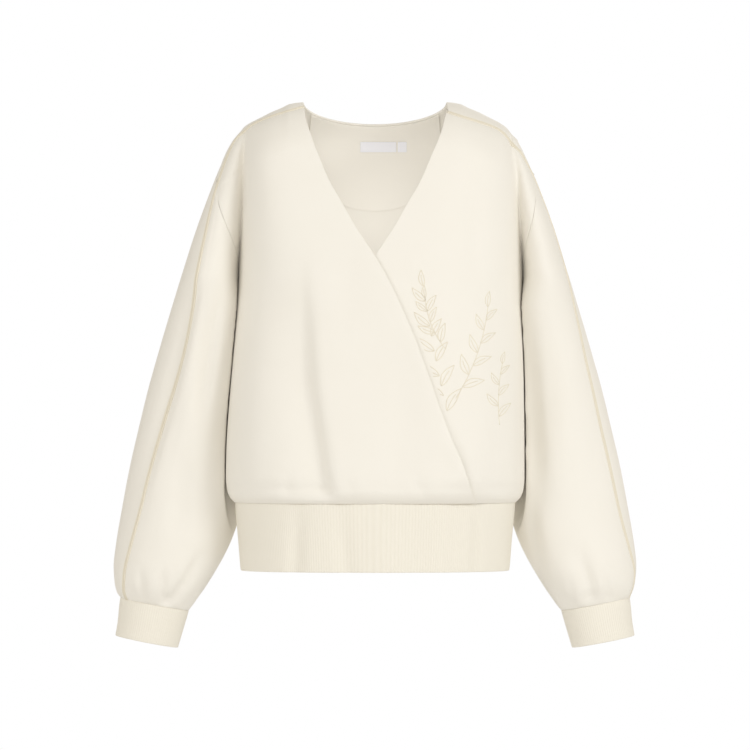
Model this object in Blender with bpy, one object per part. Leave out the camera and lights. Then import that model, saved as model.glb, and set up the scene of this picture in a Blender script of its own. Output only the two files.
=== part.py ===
"""A v-neck wrap sweatshirt with balloon sleeves, filled out as if worn, with nothing inside it.

Metres, +Z up, the front faces -Y and the wearer's right is at -X. The origin lies between the two
side neck points, where the garment hangs on its wearer. All tables below are in millimetres.
"""

import math

import bpy
import numpy as np
from mathutils import Vector
from mathutils.bvhtree import BVHTree

MM = 0.001

# Driving sizes, in millimetres.
BODY_LENGTH = 570.0  # side neck point to hem
BAND_HEIGHT = 83.0
NECK_HALF = 87.0  # half the distance between the side neck points
BACK_NECK_DROP = 24.0
V_DEPTH = 189.0
ARMPIT_Z = -212.0
PIT_SUNK = 0.25  # how far body and sleeve draw back from each other where they meet in the armpit
BLOUSE_Z = -456.0  # above here the body hangs straight, below it curls in to the band
VALLEY_DROP = 6.0  # how far below the shoulder's tip the valley between body and arm cap begins
CLOTH = 2.0  # bonded jersey
RIB = 3.0  # rib knit, folded double
SEAM = 0.3  # gap between two pieces at a seam
SEAM_HALF = 0.21  # what each of two pieces keeps clear of their seam's line
ARMHOLE_HALF = 0.3
PIPING_RADIUS = 2.0
PIPING_GAP = PIPING_RADIUS + 0.45  # from the piping's middle to the cloth on each side
PIPING_SUNK = 0.6
FACING = 1.0
FACING_GAP = 0.7  # the facing hangs a little free of the back
FACING_HALF = 95.0
FACING_DEPTH = 130.0
FACING_START = 0.55  # the angle round the neck at which the facing begins
FACING_SIDE = 20.0  # how far below the neck point the facing reaches at the shoulder
FACING_BELOW_NECK = 1.2
REACH_INSIDE = 30.0  # from where in the hollow a piece is pressed against the back
LABEL = (44.0, 13.5, 0.8)
SIZE_TAB = (11.0, 13.5, 0.8)
LABEL_X, TAB_X, LABEL_Z = -18.0, 28.0, -43.5
TIP_Z = -33.0  # the tip of the shoulder, on its ridge
BAND_SQUARE = 2.7
ROLL_FRONT = 60.0  # height over which the shoulder rolls from its ridge into the front
ROLL_BACK = 56.0
WAIST_Z = BAND_HEIGHT - BODY_LENGTH
SLEEVE_CLEARANCE = 2.6  # how far a hanging sleeve keeps off the body
SLEEVE_TUCK = 14.0  # how far a sleeve may lean in under the body's blouse
SLEEVE_SETTLE = 18.0  # depth below the armhole over which a sleeve turns from the body's form to its own
NECK_ROUND = 1.15  # 1 is a plain half oval; more flattens the back neck's ends
WAIST_PUCKER, WAIST_PUCKER_REACH = 1.6, 14.0  # depth of the gathers above the waistband, and their height
CUFF_PUCKER, CUFF_PUCKER_REACH = 2.2, 16.0
BLEND_RIGHT, BLEND_LEFT = 6.0, 14.0  # how softly the arm cap runs into the body on each side
BLEND_HEIGHT = 60.0
ARM_FROM_Z = -24.0  # above here there is no arm cap
BLEND_FROM_Z, BLEND_RUN = -32.0, 50.0

RIGHT, LEFT = -1, 1  # the wearer's sides, as signs of x
COLOURS = {
    "cloth": ((0.86, 0.82, 0.72), 0.85),
    "rib": ((0.85, 0.80, 0.68), 0.9),
    "piping": ((0.88, 0.84, 0.74), 0.6),
    "facing": ((0.85, 0.81, 0.71), 0.85),
    "label": ((0.86, 0.86, 0.90), 0.5),
}


class Table:
    """Rows of sizes, read between the rows by a smooth curve that never overshoots them."""

    def __init__(self, names, rows):
        key, *columns = names.split()
        rows = sorted(rows)
        self.knots = np.array([row[0] for row in rows], float)
        self.fine = np.linspace(self.knots[0], self.knots[-1], 1200)
        self.columns = {
            name: self.smooth(np.array([row[i + 1] for row in rows], float))
            for i, name in enumerate(columns)
        }

    def smooth(self, values):
        step = np.diff(self.knots)
        slope = np.diff(values) / step
        tangent = np.zeros(len(values))
        same_way = slope[1:] * slope[:-1] > 0
        tangent[1:-1][same_way] = (2 * slope[1:] * slope[:-1] / (slope[1:] + slope[:-1] + 1e-12))[same_way]
        tangent[0], tangent[-1] = slope[0], slope[-1]
        i = np.clip(np.searchsorted(self.knots, self.fine) - 1, 0, len(step) - 1)
        t = (self.fine - self.knots[i]) / step[i]
        return (
            (2 * t**3 - 3 * t**2 + 1) * values[i]
            + (t**3 - 2 * t**2 + t) * step[i] * tangent[i]
            + (3 * t**2 - 2 * t**3) * values[i + 1]
            + (t**3 - t**2) * step[i] * tangent[i + 1]
        )

    def at(self, name, key):
        return np.interp(key, self.fine, self.columns[name])


# The shoulder and the outer side of the sleeve, from the neck point to the cuff, seen from the front.
OUTLINE = Table("z outer", [
    (0, 87), (-2, 103), (-7, 114), (-12, 126), (-17, 136), (-22, 146), (-26.5, 155), (-31, 161),
    (-41, 169), (-58, 179), (-82, 190), (-107, 200), (-156, 218), (-212, 236), (-253, 249),
    (-302, 264), (-351, 278), (-400, 290), (-448, 301), (-497, 310), (-540, 317), (-566, 319.5),
    (-584, 318), (-596, 315), (-604, 311),
])
RIDGE = Table("x z", [
    (0, 0), (87, 0), (103, -2), (114, -7), (126, -12), (136, -17), (146, -22), (155, -26.5), (161, -31),
    (169, -41), (179, -58), (190, -82), (200, -107), (218, -156), (236, -212), (249, -253),
])
# The body: half widths and depths of its flat sections; squareness sets how sharply a side turns.
TORSO = Table("z right_half left_half front back right_square left_square", [
    (0, 163, 178, 61, 62, 7.5, 4.6),
    (-50, 163, 178, 76, 76, 7.5, 4.6),
    (-100, 163, 178, 90, 86, 7.0, 4.4),
    (-150, 164, 179, 101, 91, 6.0, 4.0),
    (-212, 166, 180, 108, 92, 4.2, 3.4),
    (-250, 169, 180.5, 111, 90, 3.4, 3.0),
    (-302, 173, 181, 112, 88, 3.0, 2.9),
    (-363, 177.5, 181.5, 111, 87, 2.8, 2.8),
    (-424, 181, 182, 112, 90, 2.8, 2.8),
    (-456, 181.5, 182, 113, 92, 2.8, 2.8),
    (-472, 180, 180.5, 111, 90, 2.7, 2.7),
    (-481, 176.5, 177, 105, 86, 2.7, 2.7),
    (-487, 171, 171, 97, 80, 2.7, 2.7),
])
# The arm: inner side and half depth; drop is how far the inner side of a ring hangs below its outer side.
ARM = Table("q right_inner left_inner depth drop mid", [
    (-26, 140, 155, 3, 0, 0),
    (-40, 146, 158, 21, 0, 1),
    (-60, 150, 161, 31, 0, 2),
    (-107, 155, 168, 43, 0, 3),
    (-150, 158.5, 173, 51, 0, 4),
    (-212, 166, 180, 62, 0, 6),
    (-250, 168, 181, 65, 0, 16),
    (-300, 168, 178, 67, 0.5, 30),
    (-350, 167, 172, 68, 1, 38),
    (-400, 165, 167, 68, 2, 42),
    (-450, 163, 163, 67, 4, 43),
    (-480, 163, 163, 66, 6, 42),
    (-500, 167, 167, 65, 8, 40),
    (-520, 174, 174, 64, 10, 38),
    (-540, 184, 184, 62, 12, 36),
    (-560, 196, 196, 60, 13.5, 34),
    (-580, 209, 209, 55, 14.5, 33),
    (-592, 218, 218, 47, 15, 32),
    (-600, 224, 224, 40, 15.3, 32),
    (-604, 227.5, 227.5, 36, 15.5, 32),
])
# The armhole's seam, as the height at each angle round the arm; from PIT_START on it runs in the valley
# between arm and body, with its last points at PIT_ANGLES.
ARMHOLE = Table("angle level", [
    (0, -85), (15, -88), (30, -95), (60, -116), (90, -138.5), (120, -162), (140, -176), (155, -185),
    (166, -190), (168.5, -195), (171, -200), (175, -208), (180, -212),
])
PIT_ANGLES = (171, 175.5, 180)
PIT_START = 166.0
MIDDLE = Table("z mid", [(0, 0), (-212, 6), (-330, 5), (-487, 0), (-575, 0)])
# Where the piping runs: on the shoulder as points seen from the front, on the sleeve as an angle
# from the outer side towards the front.
PIPING_SHOULDER = {
    RIGHT: [(87, -7), (104, -11.8), (122, -17.2), (138, -23), (151, -29.5), (161, -38)],
    LEFT: [(88, -13.5), (104, -19), (121, -24), (140, -30), (151, -35), (159, -42), (167, -53)],
}
PIPING_ARM = Table("q right left", [
    (-36, 40, 90), (-48, 40, 75), (-63, 40, 55), (-75, 42, 40), (-85, 44, 28), (-112, 47, 15), (-131, 52, 13),
    (-170, 60, 18), (-212, 65, 25), (-271, 66, 34), (-326, 63, 39), (-381, 57, 39), (-442, 51, 37),
    (-509, 47, 33), (-546, 44, 27), (-582, 40, 14), (-604, 37, 9),
])
# The neckline of the right front, which goes on as the wrap's edge down to the waist. The left
# front's is its mirror image below the first three points, which LEFT_NECK takes the place of.
WRAP_EDGE = [
    (-87, -7), (-85, -17), (-78, -40), (-67, -70), (-55, -98), (-39, -126), (-22, -156), (0, -V_DEPTH),
    (18, -221), (35, -257), (49, -290), (60, -320), (70, -348), (81, -380), (92, -408), (105, -438),
    (115, -468), (121, -487),
]
LEFT_NECK = [(87, -13.5), (85, -21), (79, -41)]
WRAP_LINE = Table("z x", [(z, x) for x, z in WRAP_EDGE])
WRAP_STEP = 3.2  # how far the upper front stands off the lower one at the wrap's edge
WRAP_EASE = 38.0  # width over which the upper front settles back from its edge
WRAP_START = 70.0  # height above the V's point over which the step begins
WRAP_SUNK, WRAP_SUNK_WIDTH = 5.0, 40.0  # how far the lower front lies back where it is covered
WRAP_SUNK_HEIGHT = 22.0  # above the waist, where both fronts meet the band
# The waistband and the cuffs, ring by ring.
BAND = Table("z half front back", [
    (-487.3, 170.5, 96, 79), (-496, 170, 94.5, 78), (-512, 168.5, 92.5, 77), (-540, 166, 90, 76),
    (-565, 164, 88.5, 75), (-570, 163.3, 88, 74.5),
])
CUFF = Table("t outer_x outer_z inner_x inner_z depth", [
    (0, 311.5, -604.8, 227.8, -620.3, 35.5), (0.15, 312.5, -611, 229.5, -626.5, 35),
    (0.6, 314.5, -632, 235.5, -647, 34), (1, 317.5, -650.5, 241, -665.5, 33),
])
# Soft folds: a line of three points (x and z of top, middle and low end), its depth, and its width
# towards -X and +X. The folds of the sleeves' hidden halves are the same on both arms.
FRONT_FOLDS = [
    (-90, -180, -80, -340, -58, -500, 13, 30, 9),
    (-118, -150, -124, -300, -126, -470, 2.5, 22, 26),
    (128, -60, 120, -170, 118, -260, 2.5, 14, 16),
    (108, -400, 118, -450, 124, -500, -4, 10, 12),
    (30, -250, 34, -380, 20, -480, 2.5, 24, 26),
]
BACK_FOLDS = [
    (-95, -160, -88, -320, -70, -500, 8, 20, 26),
    (92, -180, 84, -330, 74, -500, 7, 24, 18),
    (-10, -230, 4, -360, 8, -500, 4, 26, 26),
    (-140, -120, -138, -260, -130, -420, 3, 16, 20),
    (142, -120, 139, -260, 134, -420, 3, 20, 16),
]
RIGHT_SLEEVE_FOLDS = [
    (-180, -205, -196, -280, -212, -390, 6, 12, 7),
    (-214, -190, -236, -320, -262, -480, 3.5, 10, 14),
    (-228, -370, -236, -450, -240, -545, 3, 14, 14),
    (-226, -560, -236, -580, -250, -606, 5, 6, 8),
]
LEFT_SLEEVE_FOLDS = [
    (190, -470, 192, -525, 205, -590, 6, 8, 9),
    (236, -540, 248, -565, 262, -600, 5, 16, 18),
    (204, -215, 214, -330, 218, -440, 3, 12, 16),
    (250, -300, 262, -400, 270, -500, 2, 18, 18),
]
SLEEVE_BACK_FOLDS = [
    (205, -215, 214, -330, 222, -450, 4, 12, 16),
    (228, -240, 250, -360, 268, -500, 3.5, 14, 14),
    (226, -520, 240, -560, 252, -606, 5, 10, 12),
]
CUFF_GATHERS = 9
WAIST_GATHERS = 13
WAIST_TURN = 1.6  # the angle, in radians, that the gathers run through from the middle to a side

# How finely each piece is divided.
ARM_CAP_ROWS = 4
FRONT_ARMHOLE = 11  # divisions along the armhole, of the front and of the sleeve's front half
BACK_ARMHOLE = 13
SIDE_ROWS = 12
FRONT_COLUMNS = 18
SHOULDER_COLUMNS = 9  # half the front's, which the strips over the shoulders share at the piping
CAP_COLUMNS = 5
TIP_ROWS = 2  # rows at the shoulder's tip whose thickness is measured square to their own faces
NECK_COLUMNS = 10
FACING_COLUMNS = 16
FACING_ROWS = 4
SLEEVE_ROWS = 18
END_EASE = 0.45
SIDE_EASE = 1.35
BAND_COLUMNS = 56
CUFF_COLUMNS = 28
PIPING_SIDES = 6
EDGES = {"top": (np.s_[0], np.s_[1]), "bottom": (np.s_[-1], np.s_[-2]),
         "start": (np.s_[:, 0], np.s_[:, 1]), "end": (np.s_[:, -1], np.s_[:, -2])}


def smooth_step(t):
    t = np.clip(t, 0, 1)
    return t * t * (3 - 2 * t)


def side_of(x):
    return np.where(np.asarray(x) < 0, RIGHT, LEFT)


def by_side(table, column, side, key):
    """A column that has one value for the wearer's right and another for the left."""
    return np.where(side < 0, table.at("right" + column, key), table.at("left" + column, key))


def fold_height(folds, x, z):
    """How far the folds sink the cloth at (x, z)."""
    sunk = np.zeros(np.broadcast(x, z).shape)
    for x_top, z_top, x_mid, z_mid, x_low, z_low, depth, low_side, high_side in folds:
        centre = np.interp(z, (z_low, z_mid, z_top), (x_low, x_mid, x_top))
        along = (z_top - z) / (z_top - z_low)
        strength = smooth_step(along / 0.55) * smooth_step((1.06 - along) / 0.06)
        off = x - centre
        width = np.where(off < 0, low_side, high_side)
        sunk = sunk + depth * strength * np.exp(-((off / width) ** 2))
    return sunk


def gathers(angle, count):
    """Uneven puckers round a seam, from -1 to 1; angle is in radians."""
    return np.cos(count * angle + 0.9 * np.sin(2 * angle + 0.6) + 0.5 * np.sin(3 * angle))


def quarter_round(t):
    t = np.clip(t, 0, 1)
    return np.sqrt(1 - (1 - t) ** 2)


def torso_depth(x, z, back):
    """Half depth of the body alone at (x, z); 0 at its sides and on the shoulder's ridge."""
    side = side_of(x)
    half = by_side(TORSO, "_half", side, z)
    square = by_side(TORSO, "_square", side, z)
    edge = np.sqrt(np.clip(1 - np.clip(np.abs(x) / half, 0, 1) ** square, 0, 1))
    below_ridge = RIDGE.at("z", np.abs(x)) - z
    roll = quarter_round(below_ridge / (ROLL_BACK if back else ROLL_FRONT))
    depth = TORSO.at("back" if back else "front", z) * edge * roll
    keep = smooth_step(edge / 0.75) * smooth_step((z - WAIST_Z) / 20)
    puckers = WAIST_PUCKER * gathers(np.asarray(x) / half * WAIST_TURN, WAIST_GATHERS)
    puckers = puckers * np.exp((WAIST_Z - z) / WAIST_PUCKER_REACH)
    return depth - keep * (fold_height(BACK_FOLDS if back else FRONT_FOLDS, x, z) + puckers)


def arm_size(side, q):
    """Centre and half width of an arm section in x, its half depth, tilt and middle in y."""
    outer = OUTLINE.at("outer", q)
    inner = by_side(ARM, "_inner", side, q)
    return (outer + inner) / 2, (outer - inner) / 2, ARM.at("depth", q), ARM.at("drop", q), ARM.at("mid", q)


def arm_cap_depth(x, z):
    """Half depth of the arm alone above the armpit, where its sections are level."""
    centre, half, depth, _, _ = arm_size(side_of(x), z)
    inside = 1 - ((np.abs(x) - centre) / half) ** 2
    return np.where(z < ARM.knots[-1], depth * np.sqrt(np.clip(inside, 0, 1)), 0)


def body_depth(x, z, back):
    """Half depth of the body and, above the armpit, of the arm that grows out of it."""
    torso = torso_depth(x, z, back)
    arm = arm_cap_depth(x, z)
    blend = np.where(side_of(x) < 0, BLEND_RIGHT, BLEND_LEFT) * np.clip((z - ARMPIT_Z) / BLEND_HEIGHT, 0, 1)
    blend = blend * smooth_step((BLEND_FROM_Z - z) / BLEND_RUN) + 1e-6
    nearness = np.clip(1 - np.abs(torso - arm) / blend, 0, 1)
    joined = np.maximum(torso, arm) + blend * nearness**2 / 4
    above = np.asarray(z) > ARMPIT_Z
    return np.where(above & (z < ARM_FROM_Z), joined, torso)


def body_points(x, z, back=False):
    """Points of the body's outside, in millimetres."""
    x, z = np.broadcast_arrays(np.asarray(x, float), np.asarray(z, float))
    depth = body_depth(x, z, back)
    y = MIDDLE.at("mid", z) + (depth if back else -depth)
    return np.stack([x, y, z], axis=-1)


def body_normals(x, z, back=False):
    """Outward normals of the body, from the slope of its depth."""
    x, z = np.broadcast_arrays(np.asarray(x, float), np.asarray(z, float))
    step = 0.4
    away = np.sign(x) * step
    slope_x = (body_depth(x, z, back) - body_depth(x - away, z, back)) / np.where(away == 0, step, away)
    slope_z = (body_depth(x, z, back) - body_depth(x, z - step, back)) / step
    normal = np.stack([-slope_x, np.full(x.shape, 1.0 if back else -1.0), -slope_z], axis=-1)
    return normal / np.linalg.norm(normal, axis=-1, keepdims=True)


def clear_of_body(point, clearance):
    """Moves a sleeve's point out of the body, level with where it was."""
    x, y, z = point[..., 0], point[..., 1], point[..., 2]
    level = np.clip(z, BLOUSE_Z, 0)
    mid = MIDDLE.at("mid", z)
    side = side_of(x)
    shrink = SLEEVE_TUCK * smooth_step((BLOUSE_Z - 16 - z) / 110)
    half = by_side(TORSO, "_half", side, level) + clearance - shrink
    square = by_side(TORSO, "_square", side, level)
    depth = np.where(y < mid, TORSO.at("front", level), TORSO.at("back", level)) + clearance - shrink
    reach = (np.abs(x) / half) ** square + ((y - mid) / depth) ** 2
    grow = np.clip(reach, 1e-6, 1) ** (-1 / 2.4)
    grow = 1 + (grow - 1) * smooth_step((z + BODY_LENGTH + 40) / 40)
    moved = np.stack([x * grow, mid + (y - mid) * grow, z], axis=-1)
    share = smooth_step((ARMPIT_Z - z) / SLEEVE_TUCK)[..., None]
    return point * (1 - share) + moved * share


def sleeve_points(side, angle, q):
    """Points of a sleeve's outside; angle in degrees from the outer side towards the front."""
    angle, q = np.broadcast_arrays(np.asarray(angle, float), np.asarray(q, float))
    turn = np.radians(angle)
    centre, half, depth, drop, mid = arm_size(side, q)
    level = q - drop * (1 - np.cos(turn)) / 2
    front = np.sin(turn) >= 0
    across = centre + half * np.cos(turn)
    folds = RIGHT_SLEEVE_FOLDS if side == RIGHT else LEFT_SLEEVE_FOLDS
    seen = fold_height(folds, side * across, level)
    hidden = fold_height(SLEEVE_BACK_FOLDS, across, level)
    strength = np.abs(np.sin(turn)) ** 0.7 * smooth_step((ARMPIT_Z + 4 - q) / 30)
    low = OUTLINE.knots[0]
    sink = np.where(front, seen, hidden) * strength
    puckers = CUFF_PUCKER * gathers(turn + 0.4 * side, CUFF_GATHERS)
    sink = sink + puckers * np.exp((low - q) / CUFF_PUCKER_REACH)
    sink = sink * smooth_step((q - low) / 8)
    x = centre + (half - sink) * np.cos(turn)
    y = mid - (depth - sink) * np.sin(turn)
    return clear_of_body(np.stack([side * x, y, level], axis=-1), SLEEVE_CLEARANCE)


def sleeve_normals(side, angle, q):
    step = 1.5
    along = sleeve_points(side, angle, q - step) - sleeve_points(side, angle, q + step)
    round_it = sleeve_points(side, angle + step, q) - sleeve_points(side, angle - step, q)
    normal = np.cross(round_it, along) * side
    return normal / np.linalg.norm(normal, axis=-1, keepdims=True)


def armhole_level(angle):
    """Height of the armhole's seam at an angle round the arm."""
    return ARMHOLE.at("level", np.abs(angle))


def armhole_start(side):
    """The angle at which the piping crosses the armhole's seam."""
    angle = 30.0
    for _ in range(30):
        angle = float(by_side(PIPING_ARM, "", side, armhole_level(angle)))
    return angle


def armhole_angles(side, back):
    """The angles that divide the armhole's seam, from the piping to the armpit."""
    count = (BACK_ARMHOLE if back else FRONT_ARMHOLE) - len(PIT_ANGLES)
    way = -1 if back else 1
    even = np.linspace(armhole_start(side), way * PIT_START, count + 1)
    return np.concatenate([even, way * np.array(PIT_ANGLES)])


def evenly(points, count, ease=0.0):
    """Points along a line at equal lengths; an ease over 0 draws them towards both ends."""
    points = np.asarray(points, float)
    length = np.concatenate([[0], np.cumsum(np.linalg.norm(np.diff(points, axis=0), axis=1))])
    share = np.linspace(0, 1, count + 1)
    wanted = (share - ease * np.sin(2 * math.pi * share) / (2 * math.pi)) * length[-1]
    return np.stack([np.interp(wanted, length, points[:, i]) for i in range(points.shape[1])], axis=-1)


def fine_line(points, samples=400):
    """A smooth line through a few points, by a curve through each coordinate against length."""
    points = np.asarray(points, float)
    length = np.concatenate([[0], np.cumsum(np.linalg.norm(np.diff(points, axis=0), axis=1))])
    line = Table("t x z", [(t, *p) for t, p in zip(length, points)])
    t = np.linspace(0, length[-1], samples)
    return np.stack([line.at("x", t), line.at("z", t)], axis=-1)


def arm_line(side, angles, levels):
    """Points seen from the front of a line on the arm above the armpit."""
    centre, half, _, _, _ = arm_size(side, levels)
    return np.stack([side * (centre + half * np.cos(np.radians(angles))), levels], axis=-1)


def piping_path(side):
    """The piping from the neck over the shoulder to the armhole, seen from the front.

    Gives its fine points on the shoulder, from the tip to the neck, and on the arm cap.
    """
    tip_z = PIPING_SHOULDER[side][-1][1]
    levels = np.linspace(tip_z - 8, float(armhole_level(armhole_start(side))), 5)
    arm = arm_line(side, by_side(PIPING_ARM, "", side, levels), levels)
    shoulder = [(side * x, z) for x, z in PIPING_SHOULDER[side]]
    line = fine_line([*shoulder, *arm], 2000)
    tip = int(np.argmin(np.abs(line - shoulder[-1]).sum(axis=1)))
    return line[tip::-1], line[tip:]


def shoulder_line(side, count):
    """The piping from the shoulder's tip to the neck, seen from the front."""
    return evenly(piping_path(side)[0], count)


def piping_on_arm_cap(side, count):
    """The piping from the shoulder's tip to the armhole, seen from the front."""
    return evenly(piping_path(side)[1], count)


def valley_line(side, back, tip, count):
    """Where the arm cap meets the body, from the shoulder's tip to the armpit, seen from the front."""
    line = [tip]
    pit = armhole_angles(side, back)[-1 - len(PIT_ANGLES):]
    in_pit = arm_line(side, pit, armhole_level(pit))
    for z in np.linspace(tip[1] - VALLEY_DROP, in_pit[0, 1] + 4, 40):
        x = np.linspace(float(by_side(ARM, "_inner", side, z)), float(OUTLINE.at("outer", z)), 400)
        body_is_outside = torso_depth(side * x, z, back) > arm_cap_depth(side * x, z)
        line.append((side * x[np.argmin(body_is_outside)], z))
    line.append(tuple(in_pit[0]))
    return np.concatenate([evenly(line, count - len(PIT_ANGLES)), in_pit[1:]])


def valley_normals(line, back):
    """Normals along the valley, halfway between body and arm, and the body's own in the armpit."""
    x, z = line[:, 0], line[:, 1]
    away = np.sign(x)
    on_body = body_normals(x - away * 0.6, z, back)
    on_body[-1] = (away[-1], 0, 0)
    normals = on_body + body_normals(x + away * 1.2, z, back)
    in_pit = np.arange(len(line)) >= len(line) - len(PIT_ANGLES)
    normals[in_pit] = on_body[in_pit]
    return normals / np.linalg.norm(normals, axis=-1, keepdims=True)


def shoulder_ridge(side, count):
    """The ridge from the shoulder's tip to the neck."""
    x = np.linspace(float(OUTLINE.at("outer", TIP_Z)), NECK_HALF, 300)
    return evenly(np.stack([side * x, RIDGE.at("z", x)], axis=-1), count)


def back_neck(count):
    """The back neckline, from the wearer's right to the left."""
    turn = np.linspace(0, math.pi, 300)
    x = -NECK_HALF * np.cos(turn)
    z = -BACK_NECK_DROP * np.sin(turn) ** NECK_ROUND
    return evenly(np.stack([x, z], axis=-1), count)


def side_seam(side, count):
    levels = WAIST_Z + (ARMPIT_Z - WAIST_Z) * np.linspace(1, 0, count + 1) ** SIDE_EASE
    return np.stack([side * by_side(TORSO, "_half", side, levels), levels], axis=-1)


def patch(top, bottom, start, end):
    """Rows of fine points from start to end, seen from the front, that follow top and bottom."""
    u = np.linspace(0, 1, 900)
    fine = (1 - np.cos(math.pi * u)) / 2

    def bend(line):
        line = evenly(line, 300)
        t = np.linspace(0, 1, 301)
        chord = line[0] + (line[-1] - line[0]) * t[:, None]
        return np.stack([np.interp(fine, t, (line - chord)[:, i]) for i in range(2)], axis=-1)

    top_bend, bottom_bend = bend(top), bend(bottom)
    shares = np.linspace(0, 1, len(start))[:, None, None]
    straight = start[:, None] + (end - start)[:, None] * fine[None, :, None]
    return straight + (1 - shares) ** 1.5 * top_bend + shares * bottom_bend


def cloth_length(points):
    return np.concatenate([[0], np.cumsum(np.linalg.norm(np.diff(points, axis=0), axis=1))])


def spaced(rows, top, back):
    """Grid points on the rows: the first row is top, and lower rows turn to equal lengths."""
    top_length = cloth_length(body_points(top[:, 0], top[:, 1], back))
    top_shares = top_length / top_length[-1]
    even = np.linspace(0, 1, len(top))
    grid = [top]
    for j, row in enumerate(rows[1:], 1):
        length = cloth_length(body_points(row[:, 0], row[:, 1], back))
        blend = smooth_step(j / len(rows) * 1.6)
        wanted = (top_shares * (1 - blend) + even * blend) * length[-1]
        grid.append(np.stack([np.interp(wanted, length, row[:, i]) for i in range(2)], axis=-1))
    return np.array(grid)


def inset(line, normals, inside, distance):
    """A line of points moved square to itself on the cloth, towards points inside the piece."""
    aside = np.cross(normals, np.gradient(line, axis=0))
    aside /= np.linalg.norm(aside, axis=-1, keepdims=True) + 1e-12
    if (aside * (inside - line)).sum() < 0:
        aside = -aside
    return line + aside * np.asarray(distance)[..., None]


def inset_edge(points, normals, edge, distance):
    """Moves one edge of a grid of points into the grid."""
    first, second = EDGES[edge]
    points[first] = inset(points[first], normals[first], points[second], distance)


def wall(name, grids, thickness, material, closed=False):
    """One closed solid from grids of outside points and normals; grids share equal points.

    Where a normal isn't a number, it is worked out from the faces round its point.
    """
    points, quads, index_of = [], [], {}

    def index(point, normal):
        key = tuple(np.round(point, 4))
        if key not in index_of:
            index_of[key] = len(points)
            points.append((point, normal))
        return index_of[key]

    for grid, normals in grids:
        rows, columns = grid.shape[:2]
        ids = [[index(grid[j, i], normals[j, i]) for i in range(columns)] for j in range(rows)]
        for j in range(rows - 1):
            for i in range(columns if closed else columns - 1):
                k = (i + 1) % columns
                corners = tuple(dict.fromkeys((ids[j][i], ids[j + 1][i], ids[j + 1][k], ids[j][k])))
                if len(corners) > 2:
                    quads.append(corners)
    outer = np.array([point for point, _ in points])
    outward = np.array([normal for _, normal in points])
    middle = quads[len(quads) // 3]
    facing = np.cross(outer[middle[1]] - outer[middle[0]], outer[middle[-1]] - outer[middle[0]])
    if facing @ outward[middle[0]] < 0:
        quads = [quad[::-1] for quad in quads]
    count = len(points)
    skin = [triangle for quad in quads for triangle in halves(outer, quad)]
    edges = {(a, b) for triangle in skin for a, b in zip(triangle, triangle[1:] + triangle[:1])}
    rim = [(b, a, a + count, b + count) for a, b in sorted(edges) if (b, a) not in edges]
    a, b, c = np.array(skin).T
    across = np.cross(outer[b] - outer[a], outer[c] - outer[a])
    square = np.zeros_like(outer)
    for corner in (a, b, c):
        np.add.at(square, corner, across)
    square /= np.linalg.norm(square, axis=-1, keepdims=True)
    outward = np.where(np.isnan(outward), square, outward)
    both = np.concatenate([outer, outer - thickness * outward])
    faces = skin + [tuple(i + count for i in triangle[::-1]) for triangle in skin]
    faces += [triangle for quad in rim for triangle in halves(both, quad)]
    return solid(name, both, faces, material)


def halves(points, corners):
    """The triangles of a face, split along its shorter diagonal."""
    if len(corners) == 3:
        return [corners]
    a, b, c, d = corners
    if np.linalg.norm(points[a] - points[c]) < np.linalg.norm(points[b] - points[d]):
        return [(a, b, c), (a, c, d)]
    return [(a, b, d), (b, c, d)]


def solid(name, points, faces, material):
    mesh = bpy.data.meshes.new(name)
    mesh.from_pydata((points * MM).tolist(), [], faces)
    mesh.materials.append(material)
    mesh.shade_smooth()
    mesh.set_sharp_from_angle(angle=math.radians(50))
    part = bpy.data.objects.new(name, mesh)
    bpy.context.scene.collection.objects.link(part)
    return part


def finishes():
    made = {}
    for name, (colour, roughness) in COLOURS.items():
        material = bpy.data.materials.new(name)
        material.use_nodes = True
        shader = material.node_tree.nodes["Principled BSDF"]
        shader.inputs["Base Color"].default_value = (*colour, 1)
        shader.inputs["Roughness"].default_value = roughness
        shader.inputs["Metallic"].default_value = 0.0
        made[name] = material
    return made


def wrap_offset(x, z, lower):
    """How far a front panel stands off the body's form because the two fronts cross."""
    covered = WRAP_LINE.at("x", z) - x
    fade = smooth_step((-V_DEPTH + WRAP_START - z) / WRAP_START)
    lift = WRAP_STEP * np.exp(-((np.clip(covered, 0, None) / WRAP_EASE) ** 2)) * fade
    if not lower:
        return lift
    deeper = WRAP_SUNK * smooth_step(covered / WRAP_SUNK_WIDTH) * smooth_step((z - WAIST_Z) / WRAP_SUNK_HEIGHT)
    return np.where(covered > 0, lift - WRAP_STEP * fade - deeper, 0)


def side_word(side):
    return "right" if side == RIGHT else "left"


def angle_on_arm(side, x, z):
    """The angle from the arm's outer side of a point seen from the front."""
    centre, half, _, _, _ = arm_size(side, z)
    return np.degrees(np.arccos(np.clip((side * x - centre) / half, -1, 1)))


def cap_normals(side, x, z, back):
    """Outward normals of the arm cap, or of the body where that lies outside it."""
    angles = angle_on_arm(side, x, z) * (-1 if back else 1)
    on_body = (torso_depth(x, z, back) > arm_cap_depth(x, z))[..., None]
    return np.where(on_body, body_normals(x, z, back), sleeve_normals(side, angles, z))


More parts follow.
